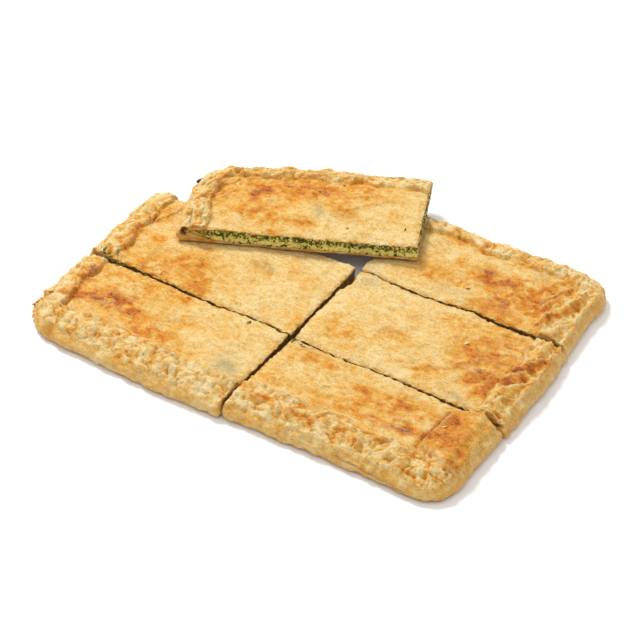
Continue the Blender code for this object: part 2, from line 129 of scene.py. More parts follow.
# The flap folded over the front right corner, and how much higher it stands on the rim.
FLAP_CORNERS = tuple(
    (x * MM, y * MM)
    for x, y in ((156, -109), (187, -120), (230, -112), (230, -46), (182, -48), (159, -64))
)
FLAP_THICKNESS = 4.6 * MM
FLAP_ROUNDING = 1.6 * MM
FLAP_GROOVE = 1.9 * MM
FLAP_GROOVE_WIDTH = 1.6 * MM
FLAP_ON_RIM = 1.2 * MM

# Folds and wrinkles: the ends of the line, x0 y0 x1 y1, the rise and how far it sinks away behind the line. A
# negative rise swaps the sides. A seventh number is how far the steep side reaches. All in mm.
LEFT_RIM_FOLDS = (
    (-176, -96, -170, -60, 0.9, 9), (-180, -108, -150, -95, 0.7, 7), (-168, -32, -174, 0, 1.4, 9),
    (-174, 0, -160, 38, 1.7, 10), (-173, -34, -166, -49, 0.9, 6), (-181, 60, -172, 92, 2.0, 10),
    (-184, 84, -168, 118, 2.4, 11), (-168, 91, -157, 105, 1.6, 7), (-172, 108, -154, 121, 1.6, 7),
    (-172, 126, -152, 136, 1.3, 7),
)
LEFT_RIM_PLEATS = tuple(
    (-190, middle - 8, -166, middle + 9, rise, 6)
    for middle, rise in (
        (-98, 0.6), (-84, 0.7), (-70, 0.7), (-38, 1.0), (-23, 1.2), (-8, 1.2), (8, 1.1), (24, 1.2),
        (63, 1.2), (77, 1.5), (91, 1.6), (105, 1.6), (119, 1.4),
    )
)
BACK_RIM_FOLDS = (
    (-150, 121, -108, 127, 1.6, 9), (-104, 128, -50, 128, 1.4, 9), (30, 127, 80, 121, 1.0, 8),
    (78, 123, 138, 124, 1.2, 9),
)
BACK_CORNER_FOLDS = (
    (172, 50, 163, 78, -1.9, 10, 1.4), (163, 78, 152, 102, -1.9, 10, 1.4),
    (152, 102, 136, 128, -1.6, 9, 1.4),
)
FRONT_RIM_FOLDS = (
    (8, -113, 60, -117, -1.4, 12), (62, -110, 108, -110, -1.6, 11), (110, -112, 122, -117, -1.8, 8),
    (122, -116, 154, -111, -1.4, 9), (-62, -118, -4, -118, -1.0, 12), (-128, -110, -66, -117, -1.2, 12),
    (-165, -104, -124, -110, -1.4, 10),
)
FIELD_WRINKLES = (
    (106, -105, 152, -98, 1.6, 8), (116, -96, 146, -88, 0.9, 7), (88, -34, 106, -27, 1.0, 7),
    (106, -27, 132, -20, 1.2, 8), (143, -14, 164, -5, 1.3, 6), (154, 27, 176, 36, 1.0, 6),
    (148, 14, 170, 21, 1.0, 6), (126, 34, 168, 42, 0.7, 7), (134, 14, 148, -5, -0.9, 5),
    (83, 100, 118, 101, 0.9, 8), (118, 101, 140, 110, 0.9, 8), (112, 84, 128, 72, 0.7, 6),
    (96, 66, 132, 62, 0.6, 6), (-152, 106, -122, 101, 0.9, 7), (-60, 104, -28, 112, 0.8, 8),
    (-58, 90, -36, 100, 0.7, 6), (-118, 116, -60, 114, 0.7, 9), (-160, -88, -118, -82, 1.0, 8),
    (-150, -98, -118, -97, 0.8, 7), (-92, -97, -82, -91, 0.8, 5), (-150, -40, -112, -37, 0.8, 6),
    (-136, -26, -98, -34, 0.7, 7), (-124, -13, -96, -11, 0.7, 7), (-46, 14, -28, 17, 0.6, 5),
    (20, -60, 56, -57, 0.6, 7),
)

# Overlapping pleats: the ends of the crest, x0 y0 x1 y1, its rise, how far it slopes down in front, and how
# brown that slope is, by browning and painted shade. Behind the crest it drops steeply. In mm.
PLEATS = (
    (175.5, 31.7, 187, 50.5, 2.2, 9.5, 0.50), (173.5, 2.5, 184, 21, 3.2, 10.5, 0.95),
    (183, 19, 199, 42, 2.8, 9.5, 0.70), (171.5, -12.5, 183, 5, 2.8, 8.5, 0.75),
    (173.5, -29, 182.5, -12.5, 2.6, 8.0, 0.50), (182, -13.5, 191, -3, 2.2, 8.0, 0.35),
    (175, -41.5, 189, -24, 2.4, 8.5, 0.35), (164.5, 60, 173, 80, 3.4, 9.5, 0.70),
    (172, 78, 186.5, 106, 3.2, 10.0, 0.42), (179.5, 55, 191, 78, 2.2, 6.5, 0.40),
    (159.5, 80, 169, 104, 2.0, 6.0, 0.35), (157, 86, 167, 109, 2.6, 8.5, 0.25),
    (166, 107, 177, 127, 2.4, 9.0, 0.35), (150, 103, 156, 119, 2.2, 8.5, 0.30),
    (155, 116, 170, 136, 2.0, 9.0, 0.20),
)

FOLDS = (
    *LEFT_RIM_FOLDS,
    *LEFT_RIM_PLEATS,
    *BACK_RIM_FOLDS,
    *BACK_CORNER_FOLDS,
    *FRONT_RIM_FOLDS,
    *FIELD_WRINKLES,
)

# Soft oval spots on the lid: the middle's x and y and half widths along and across in mm, a turn in degrees,
# and the strength. Most are where the oven browned it; those by the left rim's folds and lumps add painted
# shade.
BROWN_SPOTS = (
    (150, 10, 24, 24, 0, 0.24), (150, -18, 26, 10, 12, 0.16), (122, 86, 34, 16, 4, 0.24),
    (140, 60, 20, 10, 0, 0.14), (126, -86, 36, 14, 6, 0.16), (60, -70, 36, 12, 4, 0.12),
    (-120, -90, 40, 16, 4, 0.18), (-126, -26, 40, 18, 0, 0.18), (-126, 90, 28, 20, 0, 0.16),
    (-60, 108, 46, 12, -6, 0.12), (-178, 12, 8, 30, 0, 0.10), (-168, 104, 10, 24, 20, 0.06),
    (50, -128, 40, 8, 0, 0.12), (120, -124, 34, 8, 0, 0.12), (-100, -128, 60, 8, 0, 0.10),
    (-133, -91, 12, 5, 6, 1.3), (-148, -84, 9, 4, 20, 0.45), (-174, -76, 4, 14, 0, 0.55),
    (-158, -98, 9, 3, 22, 1.0), (-171, -104, 5, 3, 0, 0.7), (-150, -62, 18, 5, 5, 0.38),
    (-118, -66, 14, 6, 0, 0.28), (-90, -57, 9, 4, 0, 0.42), (-100, -105, 16, 10, -20, 0.42),
    (-80, -103, 10, 6, 0, 0.28), (-60, -108, 10, 5, 0, 0.26), (-148, -145, 22, 8, 0, 0.30),
    (-100, -135, 10, 5, -20, 0.22), (-66, -134, 5, 9, 20, 0.25), (-166, 27, 3, 10, -18, 0.4),
    (-173, -14, 3, 10, 6, 0.3), (-156, -6, 5, 4, 0, 0.4), (-152, -14, 8, 3, 0, 0.36),
    (-112, -17, 13, 6, 10, 0.42), (-126, -30, 26, 4, 6, 0.36), (-92, -40, 6, 8, 10, 0.65),
    (-142, -44, 20, 4, 0, 0.44), (-66, 10, 8, 4, -40, 0.34), (-50, 3, 5, 4, 0, 0.2),
    (0, -38, 4, 9, 0, 0.34), (-133, 107, 12, 6, -10, 0.85), (-136, 98, 6, 4, 0, 0.4),
    (-90, 107, 26, 6, 0, 0.5), (-88, 120, 18, 6, 0, 0.38), (-43, 115, 12, 5, -18, 0.48),
    (-132, 75, 17, 9, -20, 0.42), (-94, 67, 6, 7, 0, 0.5), (-68, 92, 5, 4, 0, 0.42),
    (-57, 85, 8, 5, 0, 0.38), (-119, 55, 6, 3, 0, 0.36), (-173, 87, 6, 4, 40, 0.35),
    (-162, 98, 4, 5, 50, 0.3), (-161, 115, 8, 4, 40, 0.2), (-164, 133, 8, 3, 20, 0.3),
    (-148, 129, 7, 5, 0, 0.4), (-100, 135, 7, 4, 0, 0.4), (35, -65, 16, 6, 8, 0.4),
    (88, -77, 5, 4, 0, 0.4), (123, -73, 15, 5, 6, 0.7), (132, -82, 16, 4, 14, 0.36),
    (137, -100, 19, 3, 8, 1.3), (85, -97, 10, 9, 0, 0.34), (62, -103, 10, 4, 0, 0.34),
    (24, -102, 12, 6, 0, 0.24), (168, -76, 6, 10, 10, 0.62), (176, -98, 9, 10, 0, 0.45),
    (188, -110, 5, 7, 0, 0.2), (166, -118, 10, 4, -20, 0.2), (30, -128, 6, 4, 0, 0.4),
    (52, -130, 6, 5, 0, 0.42), (73, -132, 4, 4, 0, 0.4), (112, -134, 7, 5, 0, 0.4),
    (98, -129, 4, 5, 0, 0.3), (165, -135, 12, 9, 0, 0.3), (30, -27, 15, 8, -14, 0.36),
    (75, -8, 7, 4, 0, 0.36), (108, 32, 7, 4, 0, 0.42), (112, -32, 12, 4, 12, 0.46),
    (146, 28, 15, 9, 0, 0.4), (157, 5, 13, 5, 0, 0.7), (160, -18, 11, 5, 0, 0.8),
    (163, -31, 5, 7, 0, 0.52), (130, 0, 8, 6, 0, 0.3), (183, 8, 4, 10, -20, 0.30),
    (188, 33, 4, 10, -20, 0.20), (180, -8, 4, 8, -20, 0.15), (188, -30, 4, 12, -15, 0.15),
    (194, 14, 3, 10, -10, 0.3), (97, 95, 6, 5, 0, 0.5), (114, 93, 10, 5, 0, 0.8),
    (134, 98, 17, 6, 4, 0.45), (62, 78, 10, 7, 0, 0.42), (84, 78, 5, 4, 0, 0.3), (120, 76, 6, 4, 0, 0.4),
    (129, 66, 7, 4, 0, 0.36), (145, 77, 14, 9, 0, 0.44), (112, 60, 6, 4, 0, 0.4),
    (136, 55, 14, 4, 0, 0.34), (58, 127, 6, 4, 0, 0.46), (84, 127, 4, 5, 0, 0.5),
    (72, 100, 4, 6, 0, 0.42), (165, 106, 12, 7, 20, 0.25), (163, 90, 5, 8, 0, 0.25),
    (176, 74, 4, 13, -10, 0.15), (125, 127, 7, 6, 0, 0.3),
)

# Where the spinach shows grey-green through the lid. The long thin band along the front rim's inner edge is
# painted shade.
SPINACH_PATCHES = (
    (-19, -106, 7, 9, 0, 0.9), (-10, -110, 4, 9, 0, 0.45), (-55, -121, 9, 3, -20, 0.4),
    (-56, 9, 9, 4, -10, 0.55), (-85, -84, 6, 5, 0, 0.25), (-83, 84, 5, 7, 0, 0.6),
    (-60, 80, 14, 8, 0, 0.22), (60, -115, 24, 3, 2, 0.35), (15, -56, 10, 4, 0, 0.45),
    (152, -46, 7, 3, 0, 0.8), (68, -5, 7, 3, 0, 0.35), (22, 37, 9, 5, 25, 0.4), (14, 58, 5, 9, 0, 0.5),
    (88, 64, 14, 4, 10, 0.3), (142, 117, 6, 6, -40, 0.4), (158, -75, 3, 10, 0, 0.35),
)

# Where the lid's thin layers stand up as flakes. Elsewhere they lie flat.
FLAKY_PATCHES = (
    (140, 2, 34, 34, 0, 1.0), (112, -28, 34, 10, 12, 0.8), (112, 84, 38, 26, 0, 0.9),
    (40, 92, 16, 20, 0, 0.7), (-46, 112, 40, 16, -16, 0.7), (-112, 124, 34, 9, 0, 0.6),
    (-132, 92, 26, 16, -20, 0.5), (-142, -84, 26, 18, 0, 0.9), (-88, -94, 16, 9, 20, 0.5),
    (-136, -34, 34, 14, 0, 0.6), (132, -96, 30, 12, 6, 0.8), (100, -72, 40, 10, 4, 0.35),
)

# Where the rim is folded smoothly instead of crumpled.
SMOOTH_PATCHES = (
    (184, 2, 13, 52, 0, 1.0), (168, 94, 24, 38, 0, 1.0), (-184, -88, 12, 22, 0, 0.7),
    (14, -124, 12, 12, 0, 0.5),
)

# Thin dark cracks and burnt dots on the lid.
SCORCHED_SPOTS = (
    (140, 6, 9, 0.9, -52, 0.55), (144, 7, 8, 0.8, -52, 0.4), (-170, -42, 11, 1.0, -60, 0.6),
    (-188, 61, 10, 1.3, -84, 0.8), (-152, 123, 7, 1.2, -62, 0.6), (-30, -54, 2.2, 1.4, 0, 0.9),
    (155, -87, 1.3, 1.3, 0, 0.8), (170, -91, 1.5, 1.2, 0, 0.8), (189, -124, 2.0, 3.0, 0, 0.8),
    (158, -88, 1.2, 20, -6, 0.35), (84, 126, 2.4, 2.4, 0, 0.6), (58, 125, 2.0, 1.6, 0, 0.5),
    (92, 115, 3.0, 1.6, 0, 0.5), (192, 5, 1.6, 3.0, 0, 0.7), (-56, 65, 1.6, 1.4, 0, 0.7),
    (-8, 68, 1.6, 1.4, 0, 0.6),
)

# Long pale streaks: painted highlights where the oil shines.
SHEEN_HIGHLIGHTS = (
    (171, -116.5, 17, 2.6, -19, 1.0), (158.5, -88, 1.0, 22, -5, 0.7), (172, -57, 12, 1.0, 30, 0.4),
    (140, -90, 9, 1.0, 4, 0.8), (134, -84, 8, 0.9, 4, 0.6), (126, -104, 14, 0.9, 10, 0.7),
    (163, 30, 7, 1.3, 8, 0.9), (158, 18, 7, 1.2, 8, 0.8), (146, -12, 6, 1.2, 10, 0.8),
    (160, -6, 5, 1.0, 20, 0.7), (122, -22, 13, 1.0, 12, 0.6), (98, -30, 9, 0.9, 16, 0.5),
    (136, 24, 16, 0.8, 14, 0.4), (98, 100, 18, 0.9, 0, 0.6), (128, 106, 12, 0.9, 24, 0.6),
    (118, 70, 12, 0.8, -14, 0.5), (126, 82, 10, 0.8, 20, 0.4), (142, 66, 10, 0.8, 6, 0.5),
    (106, 62, 8, 0.8, -8, 0.4), (38, 88, 6, 1.6, 30, 0.7), (44, 74, 5, 1.6, 20, 0.6),
    (-155, -72, 10, 1.1, 6, 0.7), (-147, -98, 10, 1.0, 10, 0.8), (-120, -85, 12, 0.9, -6, 0.5),
    (-87, -94, 5, 1.0, 35, 0.7), (-170, -64, 3, 10, 4, 0.4), (-110, -44, 9, 1.0, 0, 0.5),
    (-128, -38, 14, 0.8, -6, 0.5), (-45, 15, 6, 1.2, 10, 0.6), (-44, 120, 7, 0.9, -18, 0.6),
    (-31, 113, 8, 0.9, -34, 0.6), (-112, 127, 9, 0.9, 4, 0.5), (-94, 128, 10, 0.9, 8, 0.5),
    (-38, 104, 5, 0.9, 70, 0.5), (-12, 67, 13, 0.7, -6, 0.35), (-141, 104, 12, 0.9, -10, 0.4),
)

# Loose bits on the lids: a slice, a middle and half widths in mm, and how many bits lie there.
Group = namedtuple("Group", "row column x y along across count size", defaults=(1.0,))
LOOSE_FLAKES = (
    Group("front", "left", -190, -118, 3, 14, 18, 1.5), Group("front", "left", -148, -86, 22, 14, 1),
    Group("front", "left", -90, -110, 60, 22, 1), Group("middle", "left", -150, -20, 26, 22, 2),
    Group("middle", "left", -164, -44, 6, 5, 2), Group("middle", "right", 148, 4, 26, 26, 2),
    Group("middle", "right", 181, -4, 6, 40, 1), Group("back", "right", 120, 88, 34, 24, 2),
    Group("back", "right", 166, 112, 14, 18, 2), Group("back", "left", -160, 106, 14, 28, 4),
    Group("back", "left", -70, 108, 60, 18, 3), Group("front", "right", 92, -112, 70, 14, 4),
    Group("front", "right", 172, -86, 12, 26, 1), Group("front", "right", 20, -56, 10, 3, 2),
)
LOOSE_SPINACH = (
    Group("front", "right", 14, -57, 6, 2, 4), Group("front", "left", -30, -54, 2, 1, 1),
    Group("middle", "left", -184, -44, 10, 2, 7), Group("back", "left", -56, 65, 2, 2, 1),
    Group("back", "left", -8, 68, 1, 1, 1),
)
SPINACH_SCRAP = (-190 * MM, 124 * MM, 7.0 * MM)

# Bits on the cut filling: curd or leaf, the two levels that they lie between, in mm, and how many are on the
# lifted slice's cut and on each side of the front cut's wide end.
CUT_BITS = (
    ("curd", 2.8, 8.6, 480, 50),
    ("curd", 8.6, 12.4, 120, 20),
    ("leaf", 8.4, 12.6, 250, 70),
    ("leaf", 3.0, 8.4, 70, 40),
)

# The least and most length, width and thickness of the bits, in mm, and the scrap's own.
CURD_SIZE = ((1.6, 3.6), (1.4, 2.6), (1.0, 1.7))
LEAF_SIZE = ((2.4, 5.4), (1.4, 2.8), (1.2, 2.2))
FLAKE_SIZE = ((2.5, 6.0), (1.6, 3.4), (1.0, 2.0))
SCRAP_SIZE = (7.0 * MM, 3.4 * MM, 3.0 * MM)

# Mesh spacing, how far in the walls are smoothed and how often, and sizes of the fine relief.
VOXEL = 1.0 * MM
FILLING_VOXEL = 1.1 * MM
SOFT_REACH = 12 * MM
SOFT_ROUNDS = 8
HIGH_ROUNDS = 18
GRAIN_SIZE = 2.3 * MM
GRAIN_RISE = 0.24 * MM
WRINKLE_SIZE = 6 * MM
WRINKLE_RISE = 0.95 * MM
RIPPLE_SIZE = 13 * MM
RIPPLE_RISE = 0.85 * MM
FLAKE_STEP = 0.75 * MM
FLAKE_SIZES = (24 * MM, 13 * MM, 8 * MM)
RIM_FLAKE_SIZES = (13 * MM, 7 * MM)
RIM_FLAKE_STEP = 1.1 * MM
CRUMBLE_SIZES = (10.0 * MM, 4.0 * MM)
CRUMBLE_RISES = (1.2 * MM, 0.5 * MM)
LEAST_LID = 0.8 * MM
SPARE_LID = 1.6 * MM
WALL_BUMP = 1.1 * MM
WALL_BUMP_SIZE = 8 * MM
WALL_GRAIN = 0.4 * MM
WALL_GRAIN_SIZE = 2.6 * MM
WALL_BULGE = 1.0 * MM
SHOULDER_CUT = 1.2 * MM
WALL_LAYER = 0.9 * MM
WALL_LAYER_SIZE = 12 * MM
TORN_DROP = 2.0 * MM
TORN_WIDTH = 1.4 * MM
TORN_LENGTH = 4 * MM
CUT_LINE = 0.7 * MM
CUT_RAGGED = 0.4 * MM
CUT_RAGGED_SIZE = 3.6 * MM
FILLING_CRAG = 0.7 * MM
FILLING_CRAG_SIZE = 2.6 * MM

# The filling below the lid: full height from 37 mm inside the edge, thinning out into the rim.
LID_THICKNESS = 2.7 * MM
FILLING_INSET = 5.5 * MM
FILLING_FULL = 37 * MM
FILLING_TIP_HIGH = 10.6 * MM

# Browning of the plain lid, how strongly the listed spots count, and how their outlines and the pleats bend.
BROWN_BASE = -0.31
BROWN_LIMIT = 0.55
SPOT_SHARE = 0.74
SPOT_GROWTH = 1.35
PATCH_BEND = 3.5 * MM
PATCH_BEND_LENGTH = 13 * MM
PLEAT_BEND = 1.2 * MM
PLEAT_BEND_LENGTH = 10 * MM

# How much more each of these browns the lid, leaves it pale or paints shade. A mottle is a share, a size and
# a seed.
BROWN_MOTTLES = ((0.06, 30 * MM, 51.0), (0.05, 12 * MM, 53.0), (0.04, 5 * MM, 59.0))
FOLD_BROWN = 0.08
CUT_PALE = 0.08
CUT_PALE_REACH = 6 * MM
RIM_MOTTLE = 0.20
RIM_MOTTLE_SIZE = 8 * MM
RIM_PALE = 0.09
CREVICE_BROWN_AND_SHADE = 0.24
FLAP_BROWN = 0.14
GROOVE_SHADOW = 0.26
CREASE_BROWN_AND_SHADE = 0.12
FACE_SHADE = 0.36
SLOPE_BROWN_AND_SHADE = 0.66
VALLEY_SHADE = 0.55
TORN_BROWN = 0.22

# Burnt hollows: the knot at the left end of the lifted slice's front cut, and one low on the front wall, near
# the right corner.
Hollow = namedtuple("Hollow", "row column middle radius depth")
HOLLOWS = (
    Hollow("back", "left", (-190 * MM, 49.5 * MM, 10.5 * MM), 3.6 * MM, 2.2 * MM),
    Hollow("front", "right", (176.5 * MM, -137.5 * MM, 4.6 * MM), 5.0 * MM, 2.0 * MM),
)

# The seam where the upper layer was folded under, low on the front wall: where along the wall and how high
# its ends are, its depth and width, and how far it wanders.
SEAM_START = (96 * MM, 9.5 * MM)
SEAM_END = (174 * MM, 4.6 * MM)
SEAM_DEPTH = 1.0 * MM
SEAM_WIDTH = 0.9 * MM
SEAM_WANDER = 0.5 * MM

# Where the wide left end of the front cut stops showing filling, and where the lifted slice's cut starts to.
NOTCH_END = -138 * MM
FOLD_END = -172 * MM

# Colours of ramps. Baked dough goes from cream over gold to brown, its layers edge on from toasted to cream,
# and the filling from pale curds over olive to dark leaves.
PASTRY_COLOURS = (
    (0.16, "#EAD3A0"), (0.30, "#E5CA92"), (0.42, "#E0BD78"), (0.54, "#DBAA54"),
    (0.66, "#D6932A"), (0.78, "#CC7A12"), (0.90, "#B45C08"), (1.00, "#8A3C06"),
)
CUT_PASTRY_COLOURS = ((0.35, "#94601E"), (0.5, "#CC963E"), (0.65, "#EBC680"))
FILLING_COLOURS = (
    (0.30, "#F2E890"), (0.46, "#DCD05C"), (0.58, "#ADA62C"), (0.72, "#5C6416"), (1.00, "#262D08"),
)

# Mottles of the baked dough and of the filling: size of their blotches, detail, roughness, and how much finer
# they are along X, Y and Z. Then the numbers of a crust that steer its material.
EVEN = (1.0, 1.0, 1.0)
PASTRY_MOTTLES = {
    "streaks": (5 * MM, 4, 0.65, (0.7, 1.7, 1.0)),
    "specks": (1.6 * MM, 3, 0.8, (0.8, 1.2, 1.0)),
    "pinholes": (2.2 * MM, 2, 0.5, EVEN),
    "layered": (9 * MM, 2, 0.5, (1.0, 1.0, 14.0)),
    "fine": (1.3 * MM, 4, 0.7, EVEN),
    "flat_layers": (3.2 * MM, 2, 0.5, (1.0, 2.4, 1.0)),
}
FILLING_MOTTLES = {"bits": (2.6 * MM, 3, 0.65, EVEN), "grain": (0.8 * MM, 2, 0.6, EVEN)}
PASTRY_NUMBERS = (
    "browning", "pale_edge_and_highlight", "spinach", "wall", "level", "cut_face", "painted_shade_in_cut", "scorched",
)

# Disc lamps: name, place and width in metres, and watts. Then the room's white light, and the camera, which
# looks at a place on the uncut pie. Angles are in degrees, the lens in mm.
LIGHTS = (
    ("key", (-1.3, 0.6, 2.05), 0.6, 46.0),
    ("top", (0.2, -0.4, 2.4), 1.6, 7.0),
)
ROOM_LIGHT = 0.73
CAMERA_AZIMUTH = 32.163
CAMERA_ELEVATION = 40.517
CAMERA_DISTANCE = 1903.2 * MM
CAMERA_TARGET = (4.99 * MM, -7.25 * MM)
CAMERA_LENS = 132.16

random.seed(7)


def ease(value, low, high):
    """0 below low, 1 above high, and a smooth step between."""
    t = np.clip((value - low) / (high - low), 0, 1)
    return t * t * (3 - 2 * t)


def bell(value, middle, width):
    """1 at the middle, and next to nothing two widths away from it."""
    return np.exp(-(((value - middle) / width) ** 2))


def wave(x, y, length, seed):
    """Smooth noise from about -1 to 1 at many points, with bumps about length across. Each use has a seed."""
    xs = (np.asarray(x, float) / length).tolist()
    ys = (np.asarray(y, float) / length).tolist()
    return 1.6 * np.array([noise.noise((a, b, seed)) for a, b in zip(xs, ys)])


def wave_in_space(points, size):
    """Smooth noise from about -1 to 1 at many points in space."""
    return 1.6 * np.array([noise.noise(point) for point in (points / size).tolist()])


def covered(x, y, spots, grown=1.0):
    """How strongly a list of soft oval spots covers many points. Grown makes each spot that much larger."""
    total = 0
    for middle_x, middle_y, half_length, half_width, degrees, strength in spots:
        turn = math.radians(degrees)
        dx, dy = x - middle_x * MM, y - middle_y * MM
        along = (dx * math.cos(turn) + dy * math.sin(turn)) / (half_length * MM * grown)
        across = (dy * math.cos(turn) - dx * math.sin(turn)) / (half_width * MM * grown)
        total = total + strength * np.exp(-(along**2 + across**2) * 0.8)
    return total


def pushed(x, y):
    """Where points of the evenly shaped pie lie once its outline is hand-formed."""
    moved_x, moved_y = x.copy(), y.copy()
    for at_x, at_y, shift_x, shift_y, reach in PUSHES:
        share = np.exp(-((x - at_x * MM) ** 2 + (y - at_y * MM) ** 2) / (reach * MM) ** 2)
        moved_x += shift_x * MM * share
        moved_y += shift_y * MM * share
    return moved_x, moved_y


def unpushed(x, y):
    """Where points of the hand-formed pie lay before."""
    even_x, even_y = x.copy(), y.copy()
    for _ in range(4):
        moved_x, moved_y = pushed(even_x, even_y)
        even_x += x - moved_x
        even_y += y - moved_y
    return even_x, even_y


def edge_distance(x, y):
    """How far inside the pie's rounded outline points are."""
    past_x = np.abs(x) - (PIE_WIDTH / 2 - CORNER_RADIUS)
    past_y = np.abs(y) - (PIE_DEPTH / 2 - CORNER_RADIUS)
    corner = np.hypot(np.maximum(past_x, 0), np.maximum(past_y, 0))
    return CORNER_RADIUS - corner - np.minimum(np.maximum(past_x, past_y), 0)


def side_shares(x, y):
    """How much points belong to the left, right, front and back rims."""
    gaps = np.stack([x + PIE_WIDTH / 2, PIE_WIDTH / 2 - x, y + PIE_DEPTH / 2, PIE_DEPTH / 2 - y])
    pulls = np.exp((gaps.min(axis=0) - gaps) / SIDE_BLEND)
    return pulls / pulls.sum(axis=0)


def cut_place(cut, along, side):
    """Where a cut passes at many places along it. Side -1 or 1 gives that slice's own edge."""
    places, across, gaps = (np.array(values) * MM for values in zip(*cut))
    before = np.clip(np.searchsorted(places, along) - 1, 0, len(cut) - 2)
    share = ease(along, places[before], places[before + 1])
    middle = across[before] + (across[before + 1] - across[before]) * share
    gap = gaps[before] + (gaps[before + 1] - gaps[before]) * share
    return middle + side * gap / 2


def column_cut_x(y, side=0):
    """Where the cut between the columns passes at y."""
    return cut_place(COLUMN_CUT, y, side) + KNIFE_WANDER * wave(np.zeros_like(y), y, KNIFE_WANDER_LENGTH, 3.1)


def row_cut_y(row, column, x, side=0):
    """Where the cut behind the front row, or before the back row, passes at x."""
    seed = 5.3 + 2.0 * list(ROW_CUTS).index((row, column))
    wander = KNIFE_WANDER * wave(x, np.zeros_like(x), KNIFE_WANDER_LENGTH, seed)
    return cut_place(ROW_CUTS[row, column], x, side) + wander


def cut_distance(x, y):
    """How far points are from the middle of the nearest cut."""
    middle = column_cut_x(y)
    nearest = np.abs(x - middle)
    for row, column in ROW_CUTS:
        own_side = x < middle if column == "left" else x >= middle
        gap = np.abs(y - row_cut_y(row, column, x))
        nearest = np.where(own_side, np.minimum(nearest, gap), nearest)
    return nearest


def inside_cuts(row, column, x, y):
    """How far points are inside one slice's own cut faces."""
    inside = column_cut_x(y, -1) - x if column == "left" else x - column_cut_x(y, 1)
    if row != "back":
        behind = "front" if row == "front" else "back"
        inside = np.minimum(inside, row_cut_y(behind, column, x, -1) - y)
    if row != "front":
        before = "front" if row == "middle" else "back"
        inside = np.minimum(inside, y - row_cut_y(before, column, x, 1))
    return inside


def beside_line(x, y, x0, y0, x1, y1):
    """How far points are along a line, whose ends are in mm, and to its left, with the line's length."""
    dx, dy = (x1 - x0) * MM, (y1 - y0) * MM
    length = math.hypot(dx, dy)
    from_x, from_y = x - x0 * MM, y - y0 * MM
    return (from_x * dx + from_y * dy) / length, (from_y * dx - from_x * dy) / length, length


def fold_relief(x, y, x0, y0, x1, y1, rise, reach, edge=0.8):
    """One fold, steep on one side and sinking away on the other: its height, its steep face and its crest."""
    along, left, length = beside_line(x, y, x0, y0, x1, y1)
    behind = left * math.copysign(1, rise)
    ends = ease(along, -FOLD_FADE, FOLD_FADE) * (1 - ease(along, length - FOLD_FADE, length + FOLD_FADE))
    away = np.where(behind > 0, behind / (reach * MM), -behind / (edge * MM))
    height = abs(rise) * MM * ends * np.exp(-away)
    face = ends * np.exp(-np.abs(behind + 0.8 * edge * MM) / (edge * MM)) * (behind < 0)
    crest = ease(height / (abs(rise) * MM), 0.80, 1.0) * min(1.0, abs(rise) / 1.6)
    return height, face * min(1.0, edge / 3), crest


def folded(x, y):
    """All folds and wrinkles: their height, steep faces and crests."""
    height, faces, crests = (np.zeros_like(x) for _ in range(3))
    for fold in FOLDS:
        own, face, crest = fold_relief(x, y, *fold)
        height += own
        faces = np.maximum(faces, face)
        crests = np.maximum(crests, crest)
    return height, faces, crests


def pleated(x, y):
    """Overlapping pleats: height, browning and painted shade on slopes, painted highlight on crests, painted
    shade in valleys.
    """
    height, brown, crests, valleys = (np.zeros_like(x) for _ in range(4))
    for x0, y0, x1, y1, rise, slope, slope_brown_and_shade in PLEATS:
        along, left, length = beside_line(x, y, x0, y0, x1, y1)
        front = -left
        ends = ease(along, -3 * MM, 2 * MM) * (1 - ease(along, length - 1 * MM, length + 4 * MM))
        own = rise * MM * ends * np.clip(1 - front / (slope * MM), 0, 1) * ease(front, -1.2 * MM, 0.2 * MM)
        on_slope = ease(front, 0.8 * MM, 2.2 * MM) * (1 - ease(front, 0.8 * slope * MM, slope * MM))
        own_brown = np.maximum(slope_brown_and_shade * ends * on_slope, 0.6 * brown)
        brown = np.where(own >= height, own_brown, brown)
        height = np.maximum(height, own)
        crests = np.maximum(crests, ends * bell(front, 0.7 * MM, 1.3 * MM))
        valleys = np.maximum(valleys, ends * slope_brown_and_shade * bell(front, -1.9 * MM, 0.9 * MM))
    return height, brown, crests, valleys


def flap_depth(x, y):
    """How far inside the edges of the flap over the front right corner points are."""
    depth = np.full_like(x, 1.0)
    for start, end in zip(FLAP_CORNERS, FLAP_CORNERS[1:] + FLAP_CORNERS[:1]):
        dx, dy = end[0] - start[0], end[1] - start[1]
        depth = np.minimum(depth, ((y - start[1]) * dx - (x - start[0]) * dy) / math.hypot(dx, dy))
    return depth


def flaky_steps(x, y, sizes, step, seed):
    """Thin layers that end in crisp curved edges: their height, and how near each point is to an edge."""
    height, edges = np.zeros_like(x), np.zeros_like(x)
    bend = 3 * MM * wave(x, y, 11 * MM, seed + 41)
    for index, size in enumerate(sizes):
        layer = wave((x + bend) / 1.7, y - bend, size / 1.3, seed + 7.7 * index)
        sharpness = 0.8 * MM / size
        height += step * ease(layer, 0.06 - sharpness, 0.06 + sharpness)
        height -= step * ease(layer, 0.2, 0.9) * 0.9
        edges = np.maximum(edges, bell(layer, 0.07, 1.2 * sharpness))
    return height, edges


def filling_top(x, y, pillow):
    """The filling's upper side, which the lid can't sink below."""
    taper = ease(edge_distance(x, y), FILLING_INSET, FILLING_FULL)
    return FILLING_TIP_HIGH + (pillow - LID_THICKNESS - FILLING_TIP_HIGH) * taper


Form = namedtuple("Form", "height pillow rough crease flap_inside flap_share flap_groove")


